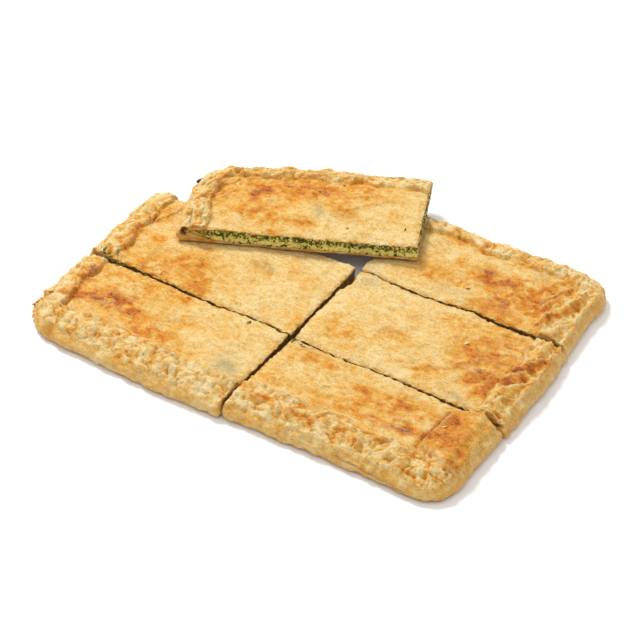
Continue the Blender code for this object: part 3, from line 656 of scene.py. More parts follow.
def lid_form(x, y, distance, cut, shares):
    """The lid's main shape: puffed field, swollen rim with its crease, rounded shoulder and corner flap."""
    width = np.tensordot(RIM_WIDTHS, shares, 1) + RIM_WOBBLE * wave(x, y, RIM_WOBBLE_LENGTH, 11.0)
    width += FRAYED_EDGE * wave(x, y, FRAYED_LENGTH, 13.0)
    on_rim = 1 - ease(distance, width - FLAP_EDGE, width + FLAP_EDGE)
    swell = np.tensordot(RIM_RISES, shares, 1) * on_rim
    flap_inside = flap_depth(x, y)
    flap_share = ease(flap_inside, 0, FLAP_ROUNDING)
    flap = FLAP_THICKNESS * flap_share
    crumple = CRUMPLE_RISE * wave(x, y, CRUMPLE_SIZE, 17.0) * (1 - ease(distance, 0.8 * width, width))
    crease = np.maximum(0, CREASE_DEPTH - flap / 3) * bell(distance, width + FLAP_EDGE, CREASE_WIDTH)
    crease *= np.clip(0.9 + 0.7 * wave(x, y, CREASE_CHANGE, 19.0), 0.2, 1.6)
    shoulder = SHOULDER_DROP * (1 - ease(distance, WALL_TOP_INSET, SHOULDER_WIDTH))
    pillow = FIELD_HEIGHT + PILLOW_RISE * (1 - np.exp(-cut / PILLOW_REACH))
    flap_groove = FLAP_GROOVE * bell(flap_inside, -FLAP_GROOVE_WIDTH, FLAP_GROOVE_WIDTH)
    height = pillow + np.maximum(swell, flap) + FLAP_ON_RIM * flap_share * on_rim
    height += crumple * (1 - 0.7 * flap_share) - crease - shoulder - flap_groove
    height -= KNIFE_DROOP * np.exp(-cut / KNIFE_REACH)
    rough = np.clip(on_rim * (1 - 0.7 * flap_share), 0, 1)
    return Form(height, pillow, rough, crease, flap_inside, flap_share, flap_groove)


Lid = namedtuple("Lid", "height relief brown green pale scorched")


def baked_top(x, y):
    """The lid's finished height at many points, with what colours it."""
    distance, cut, shares = edge_distance(x, y), cut_distance(x, y), side_shares(x, y)
    form = lid_form(x, y, distance, cut, shares)
    rough = form.rough
    bent_x = x + PATCH_BEND * wave(x, y, PATCH_BEND_LENGTH, 71.0)
    bent_y = y + PATCH_BEND * wave(x, y, PATCH_BEND_LENGTH, 73.0)
    folds, faces, fold_crests = folded(x, y)
    pleat_x = x + PLEAT_BEND * wave(x, y, PLEAT_BEND_LENGTH, 27.0)
    pleat_y = y + PLEAT_BEND * wave(x, y, PLEAT_BEND_LENGTH, 29.0)
    pleats, pleat_brown_and_shade, pleat_crests, valleys = pleated(pleat_x, pleat_y)
    flaky = 0.16 + 0.84 * np.clip(covered(bent_x, bent_y, FLAKY_PATCHES), 0, 1)
    layers, edges = flaky_steps(x, y, FLAKE_SIZES, FLAKE_STEP, 61.0)
    rim_layers, _ = flaky_steps(x, y, RIM_FLAKE_SIZES, RIM_FLAKE_STEP, 83.0)
    ridges = 1 - np.abs(wave(x * 0.8, y * 1.5, WRINKLE_SIZE, 33.0))
    ripples = 1 - 2 * np.abs(wave(x * 0.7, y * 1.3, RIPPLE_SIZE, 35.0))
    # The crumpled rim: lumps with narrow crevices between them, and finer lumps on those.
    crumpled = rough * (1 - 0.85 * np.clip(covered(x, y, SMOOTH_PATCHES), 0, 1))
    lumps = 1.2 - 1.6 * np.exp(-4 * np.abs(wave(x + bent_y - y, 1.3 * y, CRUMBLE_SIZES[0], 39.0)))
    fine_lumps = 1 - 2 * np.abs(wave(x, y, CRUMBLE_SIZES[1], 43.0))
    lumpy = CRUMBLE_RISES[0] * lumps + CRUMBLE_RISES[1] * fine_lumps
    height = form.height + folds + pleats + BLISTER_RISE * wave(x, y, BLISTER_SIZE, 23.0)
    height += layers * flaky * (1 - 0.6 * rough) + rim_layers * rough
    height += WRINKLE_RISE * (ridges - 0.5) * (0.6 + 0.9 * rough)
    height += RIPPLE_RISE * ripples * (1 - 0.5 * rough)
    height += GRAIN_RISE * wave(x, y, GRAIN_SIZE, 37.0) * (1 + 1.2 * rough)
    height += crumpled * (lumpy - 0.5 * MM)
    height = np.maximum(height, filling_top(x, y, form.pillow) + LEAST_LID)
    relief = 0.8 * (folds + pleats) + crumpled * lumpy + rim_layers
    # What browns the lid, and the shade painted on it.
    blotches = 0.75 + 0.5 * wave(x, y, 9 * MM, 75.0) + 0.35 * wave(x, y, 4.5 * MM, 77.0)
    brown = SPOT_SHARE * covered(bent_x, bent_y, BROWN_SPOTS, SPOT_GROWTH) * np.clip(blotches, 0.3, 1.4)
    for share, size, seed in BROWN_MOTTLES:
        brown += share * wave(x, y, size, seed)
    brown += FOLD_BROWN * ease(folds, 0.4 * MM, 2.0 * MM) - CUT_PALE * np.exp(-cut / CUT_PALE_REACH)
    brown += rough * RIM_MOTTLE * wave(x, y, RIM_MOTTLE_SIZE, 57.0) - RIM_PALE * rough
    # The groove round the flap gets a painted shadow line.
    brown += FLAP_BROWN * form.flap_share + GROOVE_SHADOW * form.flap_groove / FLAP_GROOVE
    # Crevices of the crumpled rim are browner, partly as painted shade.
    brown += CREVICE_BROWN_AND_SHADE * crumpled * (1 - ease(lumps, -0.3, 0.6))
    # The rim's crease is browned and painted with shade; steep fold faces get painted shade.
    brown += CREASE_BROWN_AND_SHADE * form.crease / CREASE_DEPTH + FACE_SHADE * faces
    off_wall = ease(distance + 2 * MM * blotches, 1 * MM, 10 * MM) * np.clip(blotches, 0.6, 1.3)
    # Pleat slopes get browning and painted shade; pleat valleys get painted shade.
    brown += (SLOPE_BROWN_AND_SHADE * pleat_brown_and_shade + VALLEY_SHADE * valleys) * off_wall
    brown = BROWN_BASE + np.where(brown > 0, BROWN_LIMIT * np.tanh(brown / BROWN_LIMIT), brown)
    # What stays pale unless browned: layer edges, and painted highlights on lump tops, crests and the flap's
    # edge. Then streaks.
    painted_lump_highlights = crumpled * ease(0.3 * lumps + 0.7 * fine_lumps, 0.40, 0.95)
    flap_edge = bell(form.flap_inside, 0.9 * MM, 0.8 * MM)
    pale = np.maximum.reduce(
        [0.35 * edges * flaky * (1 - rough), 0.5 * painted_lump_highlights, 0.75 * fold_crests, 0.9 * flap_edge]
    )
    # Painted highlights: streaks of oily sheen, and the pleats' crests.
    streaks = covered(bent_x, bent_y, SHEEN_HIGHLIGHTS, 1.3)
    streaks *= np.clip(0.7 + 0.7 * wave(x, y, 4 * MM, 81.0), 0.2, 1)
    pale = np.maximum.reduce([pale * (1 - 0.8 * ease(brown, 0.1, 0.4)), streaks, 0.5 * pleat_crests])
    # Painted shade along the rim's crease, broken along its length and stronger on the left rim.
    crease_shade = np.clip(0.6 + 0.9 * wave(x, y, 14 * MM, 79.0), 0, 1) * form.crease / CREASE_DEPTH
    scorched = covered(x, y, SCORCHED_SPOTS) + (0.2 + 0.3 * shares[0]) * crease_shade * (1 - form.flap_share)
    return Lid(height, relief, brown, covered(bent_x, bent_y, SPINACH_PATCHES), pale, scorched)


def slice_matrix(row, column):
    """Where a slice lies: from the uncut pie's frame to the whole's."""
    place = PLACES[row, column]
    angles = (math.radians(place.tilt_x), math.radians(place.tilt_y), math.radians(place.turn))
    moved = Matrix.Translation((place.x, place.y, place.z)) @ Euler(angles).to_matrix().to_4x4()
    return Matrix.Translation((*PIE_OFFSET, 0)) @ moved


def moved_points(points, matrix):
    """Many points, moved by a matrix."""
    table = np.array(matrix)
    return points @ table[:3, :3].T + table[:3, 3]


def vectors(items, field):
    """One vector of each of a mesh's vertices or faces, as rows of numbers."""
    flat = np.empty(len(items) * 3)
    items.foreach_get(field, flat)
    return flat.reshape(-1, 3)


def new_object(name, data):
    """A new object in the scene, at the origin."""
    thing = bpy.data.objects.new(name, data)
    bpy.context.scene.collection.objects.link(thing)
    return thing


def thickened_lid(shape, matrix):
    """Raises a slice's upper surface for a while, so that remeshing loses no thin place."""
    back = matrix.inverted()
    for vertex in shape.verts:
        own = back @ vertex.co
        if own.z > 11 * MM and any(face.normal.z > 0.3 for face in vertex.link_faces):
            x, y = unpushed(np.array([own.x]), np.array([own.y]))
            vertex.co.z += SPARE_LID * ease(edge_distance(x, y)[0], 6 * MM, 14 * MM)


def finely_meshed(node, voxel, name, matrix=None):
    """A copy of a CAD node's shape as one even, closed mesh of small faces."""
    shape = bmesh.new()
    shape.from_mesh(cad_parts[node].data)
    bmesh.ops.remove_doubles(shape, verts=shape.verts, dist=2e-6)
    if matrix:
        shape.normal_update()
        thickened_lid(shape, matrix)
    coarse = bpy.data.meshes.new(name)
    shape.to_mesh(coarse)
    shape.free()
    piece = new_object(name, coarse)
    remesh = piece.modifiers.new("even_faces", "REMESH")
    remesh.mode = "VOXEL"
    remesh.voxel_size = voxel
    graph = bpy.context.evaluated_depsgraph_get()
    fine = bpy.data.meshes.new_from_object(piece.evaluated_get(graph))
    piece.modifiers.clear()
    piece.data = fine
    bpy.data.meshes.remove(coarse)
    fine.name = name
    return piece


def softened(mesh, chosen, rounds):
    """Smooths some of a mesh's vertices."""
    shape = bmesh.new()
    shape.from_mesh(mesh)
    shape.verts.ensure_lookup_table()
    verts = [shape.verts[index] for index in np.flatnonzero(chosen)]
    axes = {"use_axis_x": True, "use_axis_y": True, "use_axis_z": True}
    for _ in range(rounds):
        bmesh.ops.smooth_vert(shape, verts=verts, factor=0.5, **axes)
    shape.to_mesh(mesh)
    shape.free()


def dressed(piece, node, material, numbers):
    """Finishes a piece that replaces a CAD node. Its numbers, one for each vertex, steer the material."""
    mesh = piece.data
    for name, values in numbers.items():
        layer = mesh.attributes.new(name, "FLOAT", "POINT")
        layer.data.foreach_set("value", np.asarray(values, np.float32))
    mesh.materials.clear()
    mesh.materials.append(material)
    mesh.shade_smooth()
    mesh.update()
    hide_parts(node)
    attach(piece, "root")
    return piece


def seam_share(points, distance):
    """How near points of the front wall are to its low seam, from 0 to 1."""
    share = (points[:, 0] - SEAM_START[0]) / (SEAM_END[0] - SEAM_START[0])
    level = SEAM_START[1] + (SEAM_END[1] - SEAM_START[1]) * share
    level += SEAM_WANDER * wave(points[:, 0], share, 9 * MM, 7.0)
    on_wall = (distance < 9 * MM) & (points[:, 1] < -100 * MM)
    ends = ease(share, 0, 0.15) * (1 - ease(share, 0.95, 1.05)) * on_wall
    return ends * bell(points[:, 2], level, SEAM_WIDTH)


def below_lifted(points):
    """Which points, in the whole's frame, lie below the lifted slice."""
    own = moved_points(points, slice_matrix(*LIFTED).inverted())
    x, y = unpushed(own[:, 0], own[:, 1])
    return (edge_distance(x, y) > -2 * MM) & (inside_cuts(*LIFTED, own[:, 0], own[:, 1]) > -2 * MM)


def wall_relief(points, seam):
    """How far the lumps and layers of a wall stand out, and its seam sinks in."""
    bumps = WALL_BUMP * wave_in_space(points + 0.31, WALL_BUMP_SIZE)
    bumps += WALL_GRAIN * wave_in_space(points, WALL_GRAIN_SIZE)
    bumps += WALL_BULGE * bell(points[:, 2], 6 * MM, 4 * MM)
    bumps -= SHOULDER_CUT * bell(points[:, 2], 14 * MM, 2.5 * MM)
    bumps += WALL_LAYER * (0.6 - np.abs(wave_in_space(points * (1, 1, 3.5) + 0.7, WALL_LAYER_SIZE)))
    return bumps - SEAM_DEPTH * seam


def crust_piece(row, column, material):
    """One slice's crust: flaky relief on its lid, lumpy walls and ragged cuts."""
    matrix = slice_matrix(row, column)
    back = matrix.inverted()
    piece = finely_meshed(f"crust_{row}_{column}", VOXEL, f"flaky_crust_{row}_{column}", matrix)
    mesh = piece.data
    points = moved_points(vectors(mesh.vertices, "co"), back)
    near_wall = edge_distance(*unpushed(points[:, 0], points[:, 1])) < SOFT_REACH
    near_wall &= inside_cuts(row, column, points[:, 0], points[:, 1]) > 2.5 * MM
    softened(mesh, near_wall, SOFT_ROUNDS)
    softened(mesh, near_wall & (points[:, 2] > 5 * MM), HIGH_ROUNDS)
    points = moved_points(vectors(mesh.vertices, "co"), back)
    normals = vectors(mesh.vertex_normals, "vector") @ np.array(matrix.to_3x3())
    x, y = unpushed(points[:, 0], points[:, 1])
    distance, inside = edge_distance(x, y), inside_cuts(row, column, points[:, 0], points[:, 1])
    upper = np.flatnonzero((points[:, 2] > 9 * MM) & (distance > 0))
    found = Lid(*np.zeros((len(Lid._fields), len(points))))
    for whole, part in zip(found, baked_top(x[upper], y[upper])):
        whole[upper] = part
    # Which vertices are on a cut face, on the lid, on the rounded shoulder or on an outer wall, from 0 to 1.
    at_cut = (1 - ease(inside, 1.6 * MM, 2.6 * MM)) * (1 - ease(np.abs(normals[:, 2]), 0.55, 0.8))
    upright = ease(points[:, 2], found.height - 1.5 * MM, found.height - 0.5 * MM) * (normals[:, 2] > -0.2)
    facing_up = np.maximum(ease(normals[:, 2], 0.1, 0.5), upright)
    lid, shoulder = np.zeros(len(points)), np.zeros(len(points))
    lid[upper] = facing_up[upper] * ease(distance[upper], 2 * MM, 7 * MM)
    shoulder[upper] = (ease(normals[:, 2], 0.1, 0.6) * ease(distance, 1 * MM, 5 * MM))[upper]
    outside = (distance < 11 * MM) & (points[:, 2] > 0.5 * MM)
    wall = np.where(outside, 1 - ease(distance, 5 * MM, 11 * MM), 0) * ease(points[:, 2], 0.2 * MM, 3 * MM)
    # Walls and cut faces move out and in, and then the lid gets its height.
    seam = seam_share(points, distance)
    bumps = wall_relief(points, seam)
    ragged = CUT_RAGGED * (wave_in_space(points + 0.57, CUT_RAGGED_SIZE) - 0.4) * at_cut
    outwards = normals * (1, 1, 0.3)
    points += normals * (wall * bumps)[:, None] + outwards * ragged[:, None]
    old_height = points[:, 2] - SPARE_LID * lid
    round_edge = np.minimum(found.height, points[:, 2] + 0.6 * found.relief)
    height = round_edge + (found.height - round_edge) * ease(distance, 8 * MM, 12 * MM)
    torn = np.exp(-inside / TORN_WIDTH) * np.clip(0.6 + wave_in_space(points, TORN_LENGTH), 0.1, 1.5)
    lifted = lid * (height - TORN_DROP * torn - points[:, 2])
    points[:, 2] += lifted + (shoulder - shoulder * lid) * found.relief
    # The wall's seam under the overhang gets painted shade; the hollows are burnt dark.
    burnt_and_seam_shade = 0.6 * seam
    for hollow in HOLLOWS:
        if (row, column) == (hollow.row, hollow.column):
            reach = np.linalg.norm(points - np.array(hollow.middle), axis=1) / hollow.radius
            share = np.exp(-(reach**2)) * np.maximum(at_cut, wall)
            points -= outwards * (hollow.depth * share)[:, None]
            burnt_and_seam_shade = np.maximum(burnt_and_seam_shade, 1.8 * share)
    if (row, column) != LIFTED:
        hidden = below_lifted(moved_points(points, matrix)) & (normals[:, 2] > 0)
        points[hidden, 2] = np.minimum(points[hidden, 2], old_height[hidden] - 0.1 * MM)
    points[:, 2] = np.maximum(points[:, 2], 0.02 * MM)
    mesh.vertices.foreach_set("co", moved_points(points, matrix).ravel())
    level = points[:, 2] / MM
    wall_brown = BROWN_BASE + 0.10 + 0.12 * wave_in_space(points, 14 * MM)
    wall_brown += 0.10 * wave_in_space(points, 5 * MM)
    wall_share = np.clip(1.2 * wall * (1 - ease(normals[:, 2], 0.3, 0.9)), 0, 1)
    wall_share *= 1 - 0.5 * ease(points[:, 2], 9 * MM, 13 * MM)
    top_share = np.maximum(lid, shoulder) * (1 - wall_share)
    cut_line = np.clip(0.7 + wave_in_space(points + 0.2, TORN_LENGTH), 0, 1.3) * lid
    cut_line *= 0.6 * np.exp(-inside / CUT_LINE)
    # Deep in the narrow cuts of the slices left in place, the crust gets painted shade.
    sunk = 1 - ease(level, FIELD_HEIGHT / MM - 4.5, FIELD_HEIGHT / MM - 1.5)
    sunk *= (row, column) != LIFTED
    numbers = {
        "browning": (found.brown + TORN_BROWN * torn) * top_share + wall_brown * (1 - top_share),
        "spinach": found.green * lid,
        "pale_edge_and_highlight": found.pale * np.maximum(lid, shoulder),
        "scorched": np.maximum.reduce([found.scorched * lid, burnt_and_seam_shade, cut_line]),
        "wall": wall_share,
        "cut_face": at_cut * (1 - wall_share),
        "painted_shade_in_cut": at_cut * sunk * ease(distance, 3 * MM, 16 * MM),
        "level": level,
    }
    return dressed(piece, f"crust_{row}_{column}", material, numbers)


def filling_piece(row, column, material):
    """One slice's filling: craggy where it is cut, with painted shade in the narrow cuts."""
    piece = finely_meshed(f"filling_{row}_{column}", FILLING_VOXEL, f"spinach_filling_{row}_{column}")
    mesh = piece.data
    matrix = slice_matrix(row, column)
    points = moved_points(vectors(mesh.vertices, "co"), matrix.inverted())
    normals = vectors(mesh.vertex_normals, "vector") @ np.array(matrix.to_3x3())
    inside = inside_cuts(row, column, points[:, 0], points[:, 1])
    at_cut = (1 - ease(inside, 2.6 * MM, 4.0 * MM)) * (np.abs(normals[:, 2]) < 0.7)
    crag = wave_in_space(points, FILLING_CRAG_SIZE)
    normals[:, 2] = 0
    points += normals * (at_cut * (FILLING_CRAG * crag - 0.2 * MM))[:, None]
    mesh.vertices.foreach_set("co", moved_points(points, matrix).ravel())
    # The less open a cut face is, the more shade the material paints on it.
    if (row, column) == LIFTED:
        open_to_light = 0.4 + 0.6 * ease(points[:, 0], -176 * MM, -160 * MM)
    else:
        open_to_light = (1 - ease(points[:, 0], -175 * MM, -140 * MM)) * 0.6
    numbers = {"level": points[:, 2] / MM, "open_to_light": open_to_light}
    return dressed(piece, f"filling_{row}_{column}", material, numbers)


def linear(code):
    """A colour from its sRGB hex code, as linear red, green, blue and alpha."""
    parts = [int(code[i : i + 2], 16) / 255 for i in (1, 3, 5)]
    return (*(p / 12.92 if p <= 0.04045 else ((p + 0.055) / 1.055) ** 2.4 for p in parts), 1.0)


def add_node(material, kind, inputs=(), output=0, stops=(), **settings):
    """Adds a node with its settings, ramp stops and inputs, in order or by name, and gives one output."""
    node = material.node_tree.nodes.new("ShaderNode" + kind)
    for name, value in settings.items():
        setattr(node, name, value)
    for socket, value in inputs.items() if isinstance(inputs, dict) else enumerate(inputs):
        if isinstance(value, bpy.types.NodeSocket):
            material.node_tree.links.new(value, node.inputs[socket])
        else:
            node.inputs[socket].default_value = linear(value) if isinstance(value, str) else value
    if stops:
        elements = node.color_ramp.elements
        while len(elements) < len(stops):
            elements.new(0.5)
        for element, (position, code) in zip(elements, stops):
            element.position = position
            element.color = linear(code)
    return node.outputs[output]


def new_material(name, **values):
    """A new material, and its shader with the values given."""
    material = bpy.data.materials.new(name)
    material.use_nodes = True
    shader = material.node_tree.nodes["Principled BSDF"]
    for socket, value in values.items():
        shader.inputs[socket.replace("_", " ")].default_value = value
    return material, shader


def mottled(material, mottles):
    """A material's mottles in a piece's own coordinates, from 0 to 1, by name."""
    place = add_node(material, "TexCoord", output="Object")
    found = {}
    for name, (size, detail, roughness, stretch) in mottles.items():
        stretched = add_node(material, "Mapping", {"Vector": place, "Scale": stretch})
        inputs = {"Vector": stretched, "Scale": 1 / size, "Detail": detail, "Roughness": roughness}
        found[name] = add_node(material, "TexNoise", inputs)
    return found


def own_numbers(material, names):
    """The numbers that a piece's vertices carry, by name."""
    return {name: add_node(material, "Attribute", output="Fac", attribute_name=name) for name in names}


def connect(material, shader, strength, distance, height, **sockets):
    """Gives a shader its bumps, and its other changing inputs."""
    bumps = add_node(material, "Bump", {"Height": height, "Strength": strength, "Distance": distance})
    for name, socket in {"Normal": bumps, **sockets}.items():
        material.node_tree.links.new(socket, shader.inputs[name.replace("_", " ")])


def baked_pastry():
    """Phyllo dough, oiled and baked: matte pale layers, glossier and brown where the heat caught them."""
    material, shader = new_material("baked_phyllo", IOR=1.45, Specular_IOR_Level=0.25)
    add = partial(add_node, material)
    mottles, own = mottled(material, PASTRY_MOTTLES), own_numbers(material, PASTRY_NUMBERS)
    amount = add("Math", (mottles["streaks"], 0.62, own["browning"]), operation="MULTIPLY_ADD")
    amount = add("Math", (mottles["specks"], 0.85, amount), operation="MULTIPLY_ADD")
    dry = add("MapRange", (mottles["streaks"], 0.35, 0.6, 0.25, 0.85))
    leaves = add("Math", (mottles["specks"], 0.25), operation="ADD")
    layers = add("ValToRGB", (mottles["layered"],), stops=CUT_PASTRY_COLOURS)
    colour = add("ValToRGB", (amount,), stops=PASTRY_COLOURS)
    for share, tint in (
        # Thin layers that lift are paler at their edges, where the dough stayed dry, and highlights are
        # painted here too.
        (add("Math", (own["pale_edge_and_highlight"], dry), operation="MULTIPLY"), "#F4D79C"),
        # Dark pinholes between the layers, and grey-green where spinach lies close below.
        (add("MapRange", (mottles["pinholes"], 0.58, 0.70, 0.0, 0.6)), "#AE8A3E"),
        (add("Math", (own["spinach"], leaves), operation="MULTIPLY"), "#8A8464"),
        # The walls see less top heat, and the lowest edge is browned by the tray.
        (add("Math", (own["wall"], 0.35), operation="MULTIPLY"), "#D9AE68"),
        (add("MapRange", (own["level"], 1.7, 0.2, 0.0, 0.85)), "#8A4A14"),
        # A knife cut shows the layers edge on, as thin dark and pale lines, and deep down it is painted dark
        # as shade.
        (add("Math", (own["cut_face"], 0.7), operation="MULTIPLY"), layers),
        (add("Math", (own["painted_shade_in_cut"], 0.8), operation="MULTIPLY"), "#4A230C"),
        # Burnt dots, cracks, hollows and dark lines at the cuts, plus painted shade in the rim's crease and
        # the wall's seam.
        (add("MapRange", (own["scorched"], 0.25, 1.0, 0.0, 0.9)), "#3A1C08"),
    ):
        colour = add("Mix", {0: share, 6: colour, 7: tint}, output=2, data_type="RGBA")
    relief = add("Math", (mottles["fine"], mottles["flat_layers"]), operation="ADD")
    gloss = add("MapRange", (amount, 0.4, 0.9, 0.55, 0.36))
    connect(material, shader, 0.9, 1.0 * MM, relief, Base_Color=colour, Roughness=gloss)
    return material


def cut_filling():
    """Chopped spinach with crumbled cheese and egg, moist throughout: pale curds below, dark leaves above."""
    material, shader = new_material("spinach_and_cheese", Roughness=0.45, IOR=1.4)
    add = partial(add_node, material)
    mottles, own = mottled(material, FILLING_MOTTLES), own_numbers(material, ("level", "open_to_light"))
    lift = add("MapRange", (own["level"], 5.0, 12.0, -0.48, -0.20))
    amount = add("Math", (mottles["bits"], 1.7, lift), operation="MULTIPLY_ADD")
    colour = add("ValToRGB", (amount,), stops=FILLING_COLOURS)
    # Down in the narrow cuts the filling is painted brown as shade.
    hidden = add("MapRange", (own["open_to_light"], 0.0, 1.0, 0.8, 0.0))
    colour = add("Mix", {0: hidden, 6: colour, 7: "#6E4014"}, output=2, data_type="RGBA")
    connect(material, shader, 0.6, 0.4 * MM, mottles["grain"], Base_Color=colour)
    return material


def plain_food(name, dark, light, size, roughness):
    """A moist or dry small piece whose colour runs between two tones in blotches about size across."""
    material, shader = new_material(name, Roughness=roughness, IOR=1.4)
    blotches = mottled(material, {"blotches": (size, 3, 0.6, EVEN)})["blotches"]
    colour = add_node(material, "ValToRGB", (blotches,), stops=((0.3, dark), (0.7, light)))
    material.node_tree.links.new(colour, shader.inputs["Base Color"])
    return material


Rest = namedtuple("Rest", "place outwards size", defaults=(1.0,))


def cut_points(row, column, piece, count, low, high):
    """Random places on a slice's cut filling, between two levels above its underside, in mm."""
    centres, facing = vectors(piece.data.polygons, "center"), vectors(piece.data.polygons, "normal")
    local = moved_points(centres, slice_matrix(row, column).inverted())
    good = (inside_cuts(row, column, local[:, 0], local[:, 1]) < 2.6 * MM) & (np.abs(facing[:, 2]) < 0.6)
    good &= (local[:, 2] > low * MM) & (local[:, 2] < high * MM)
    good &= local[:, 0] > FOLD_END if row == "back" else local[:, 0] < NOTCH_END
    found = np.flatnonzero(good)
    if not len(found):
        return []
    chosen = [found[random.randrange(len(found))] for _ in range(count)]
    return [Rest(Vector(centres[i]), Vector(facing[i])) for i in chosen]


def lid_points(groups, crusts):
    """Random places on the lids, found by dropping straight down onto them."""
    graph = bpy.context.evaluated_depsgraph_get()
    surfaces = {key: BVHTree.FromObject(piece, graph) for key, piece in crusts.items()}
    found = []
    for group in groups:
        matrix = slice_matrix(group.row, group.column)
        for _ in range(group.count):
            x = random.uniform(group.x - group.along, group.x + group.along) * MM
            y = random.uniform(group.y - group.across, group.y + group.across) * MM
            above = matrix @ Vector((x, y, 60 * MM))
            place, normal, _, _ = surfaces[group.row, group.column].ray_cast(above, Vector((0, 0, -1)))
            if place and place.z > matrix.translation.z + 5 * MM:
                found.append(Rest(place, normal, group.size))
    return found


def joined_piece(name, shape, material):
    """Keeps a bmesh as one finished piece."""
    data = bpy.data.meshes.new(name)
    shape.to_mesh(data)
    shape.free()
    data.materials.append(material)
    data.shade_smooth()
    piece = new_object(name, data)
    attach(piece, "root")
    return piece


def small_shape(kind):
    """One crumb of cheese, shred of spinach or flake of pastry, about a unit across, round the origin."""
    shape = bmesh.new()
    seed = Vector([random.uniform(-50, 50) for _ in range(3)])
    if kind == "crumb":
        bmesh.ops.create_icosphere(shape, subdivisions=1, radius=0.5)
        for vertex in shape.verts:
            vertex.co *= 1 + 0.5 * noise.noise(vertex.co * 2.4 + seed)
        return shape
    rows = 3 if kind == "flake" else 2
    bmesh.ops.create_grid(shape, x_segments=5, y_segments=rows, size=0.5)
    for vertex in shape.verts:
        x, y = vertex.co.x, vertex.co.y
        curl = 0.5 * noise.noise(Vector((x * 2.5, y * 2.5, 0)) + seed)
        if kind == "flake":
            y *= 1 + 0.7 * noise.noise(Vector((x * 3, 4, 0)) + seed)
            curl += 0.5 * x * x
        else:
            y = y * (1 - 2.6 * x * x) + 0.25 * noise.noise(Vector((x * 2, 0, 0)) + seed)
        vertex.co = (x, y, curl)
    bmesh.ops.solidify(shape, geom=shape.faces[:], thickness=0.2 if kind == "flake" else 0.1)
    return shape


def scattered(kind, points, sizes, lift, spin):
    """Many small pieces of one kind, each turned its own way on the surface it rests on."""
    whole, single = bmesh.new(), bpy.data.meshes.new(kind)
    for point, (length, width, thickness) in zip(points, sizes):
        shape = small_shape(kind)
        stand = point.outwards.to_track_quat("Z", "Y").to_matrix().to_4x4()
        angles = [random.gauss(0, spread) for spread in (0.35, 0.35, spin)]
        turn = Euler(angles).to_matrix().to_4x4()
        scale = Matrix.Diagonal((length * point.size, width * point.size, thickness * point.size, 1))
        place = Matrix.Translation(point.place + point.outwards * lift) @ stand @ turn @ scale
        bmesh.ops.transform(shape, matrix=place, verts=shape.verts)
        shape.to_mesh(single)
        shape.free()
        whole.from_mesh(single)
    bpy.data.meshes.remove(single)
    return whole


def random_sizes(count, limits):
    """Lengths, widths and thicknesses for many small pieces, each between its two limits."""
    return [[random.uniform(*pair) * MM for pair in limits] for _ in range(count)]


def filling_bits(fillings, crusts):
    """Curds and shreds on the cut faces that show, and shreds that the knife dragged onto the lids."""
    places = {"curd": [], "leaf": []}
    for key in (("front", "left"), ("middle", "left"), LIFTED):
        for kind, low, high, on_lifted, on_others in CUT_BITS:
            count = on_lifted if key == LIFTED else on_others
            places[kind] += cut_points(*key, fillings[key], count, low, high)
    crumbs = scattered("crumb", places["curd"], random_sizes(len(places["curd"]), CURD_SIZE), -0.2 * MM, 0.6)
    leaves = places["leaf"] + lid_points(LOOSE_SPINACH, crusts)
    shreds = scattered("shred", leaves, random_sizes(len(leaves), LEAF_SIZE), 0.1 * MM, 0.6)
    beside = [Rest(slice_matrix(*LIFTED) @ Vector(SPINACH_SCRAP), Vector((0, 0, 1)))] * 3
    scrap = scattered("shred", beside, [SCRAP_SIZE] * 3, 0.1 * MM, 0.6)
    cheese = plain_food("crumbled_white_cheese", "#D2C452", "#F6ECA0", 2.5 * MM, 0.5)
    spinach = plain_food("cooked_spinach", "#232A08", "#6C7820", 2.2 * MM, 0.5)
    burnt_spinach = plain_food("burnt_spinach", "#1C100A", "#4A3424", 2.5 * MM, 0.6)
    joined_piece("cheese_crumbs", crumbs, cheese)
    joined_piece("spinach_shreds", shreds, spinach)
    joined_piece("spinach_scrap", scrap, burnt_spinach)


def loose_flakes(crusts):
    """Flakes of pastry that came off as the pie was cut and moved."""
    places = lid_points(LOOSE_FLAKES, crusts)
    flakes = scattered("flake", places, random_sizes(len(places), FLAKE_SIZE), 0.25 * MM, 1.5)
    dry_pastry = plain_food("dry_phyllo_flake", "#D6963E", "#F0CC8C", 3 * MM, 0.6)
    joined_piece("pastry_flakes", flakes, dry_pastry)


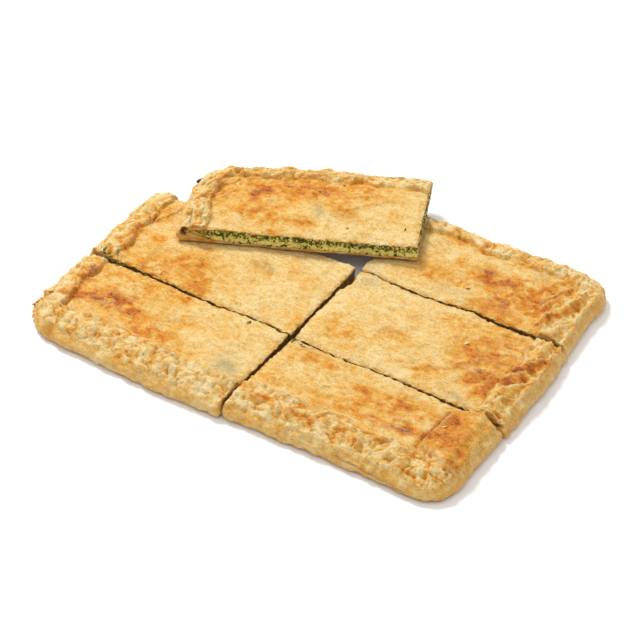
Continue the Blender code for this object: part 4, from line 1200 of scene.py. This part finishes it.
def studio():
    """A plain white floor in a white room, a soft key light from the back left and a weak one from above."""
    shape = bmesh.new()
    bmesh.ops.create_grid(shape, x_segments=1, y_segments=1, size=4)
    bmesh.ops.translate(shape, verts=shape.verts, vec=(0, 0, -0.2 * MM))
    data = bpy.data.meshes.new("floor")
    shape.to_mesh(data)
    shape.free()
    floor = new_object("floor", data)
    material, _ = new_material("white_card", Roughness=0.9, Base_Color=linear("#F6F6F6"))
    floor.data.materials.append(material)
    for name, place, size, energy in LIGHTS:
        lamp = bpy.data.lights.new(name, "AREA")
        lamp.shape = "DISK"
        lamp.size = size
        lamp.energy = energy
        light = new_object(name, lamp)
        light.location = place
        light.rotation_euler = (-Vector(place)).to_track_quat("-Z", "Y").to_euler()
    world = bpy.data.worlds.new("white_room")
    world.use_nodes = True
    world.node_tree.nodes["Background"].inputs["Color"].default_value = (1, 1, 1, 1)
    world.node_tree.nodes["Background"].inputs["Strength"].default_value = ROOM_LIGHT
    bpy.context.scene.world = world
    bpy.context.scene.view_settings.view_transform = "Standard"


def photo_camera():
    """The camera at the photo's view: a long lens from the front right, looking down."""
    azimuth, elevation = math.radians(CAMERA_AZIMUTH), math.radians(CAMERA_ELEVATION)
    lens = bpy.data.cameras.new("camera")
    lens.sensor_width = 36
    lens.lens = CAMERA_LENS
    camera = new_object("camera", lens)
    level = math.cos(elevation) * CAMERA_DISTANCE
    away = (math.sin(azimuth) * level, -math.cos(azimuth) * level, math.sin(elevation) * CAMERA_DISTANCE)
    target = Vector((CAMERA_TARGET[0] + PIE_OFFSET[0], CAMERA_TARGET[1] + PIE_OFFSET[1], 0))
    camera.location = target + Vector(away)
    camera.rotation_euler = (math.pi / 2 - elevation, 0, azimuth)
    bpy.context.scene.camera = camera


def build_looks():
    """Makes all pieces, the room and the camera."""
    pastry, stuffing = baked_pastry(), cut_filling()
    crusts, fillings = {}, {}
    for row in ROWS:
        for column in COLUMNS:
            crusts[row, column] = crust_piece(row, column, pastry)
            fillings[row, column] = filling_piece(row, column, stuffing)
    filling_bits(fillings, crusts)
    loose_flakes(crusts)
    studio()
    photo_camera()


build_looks()
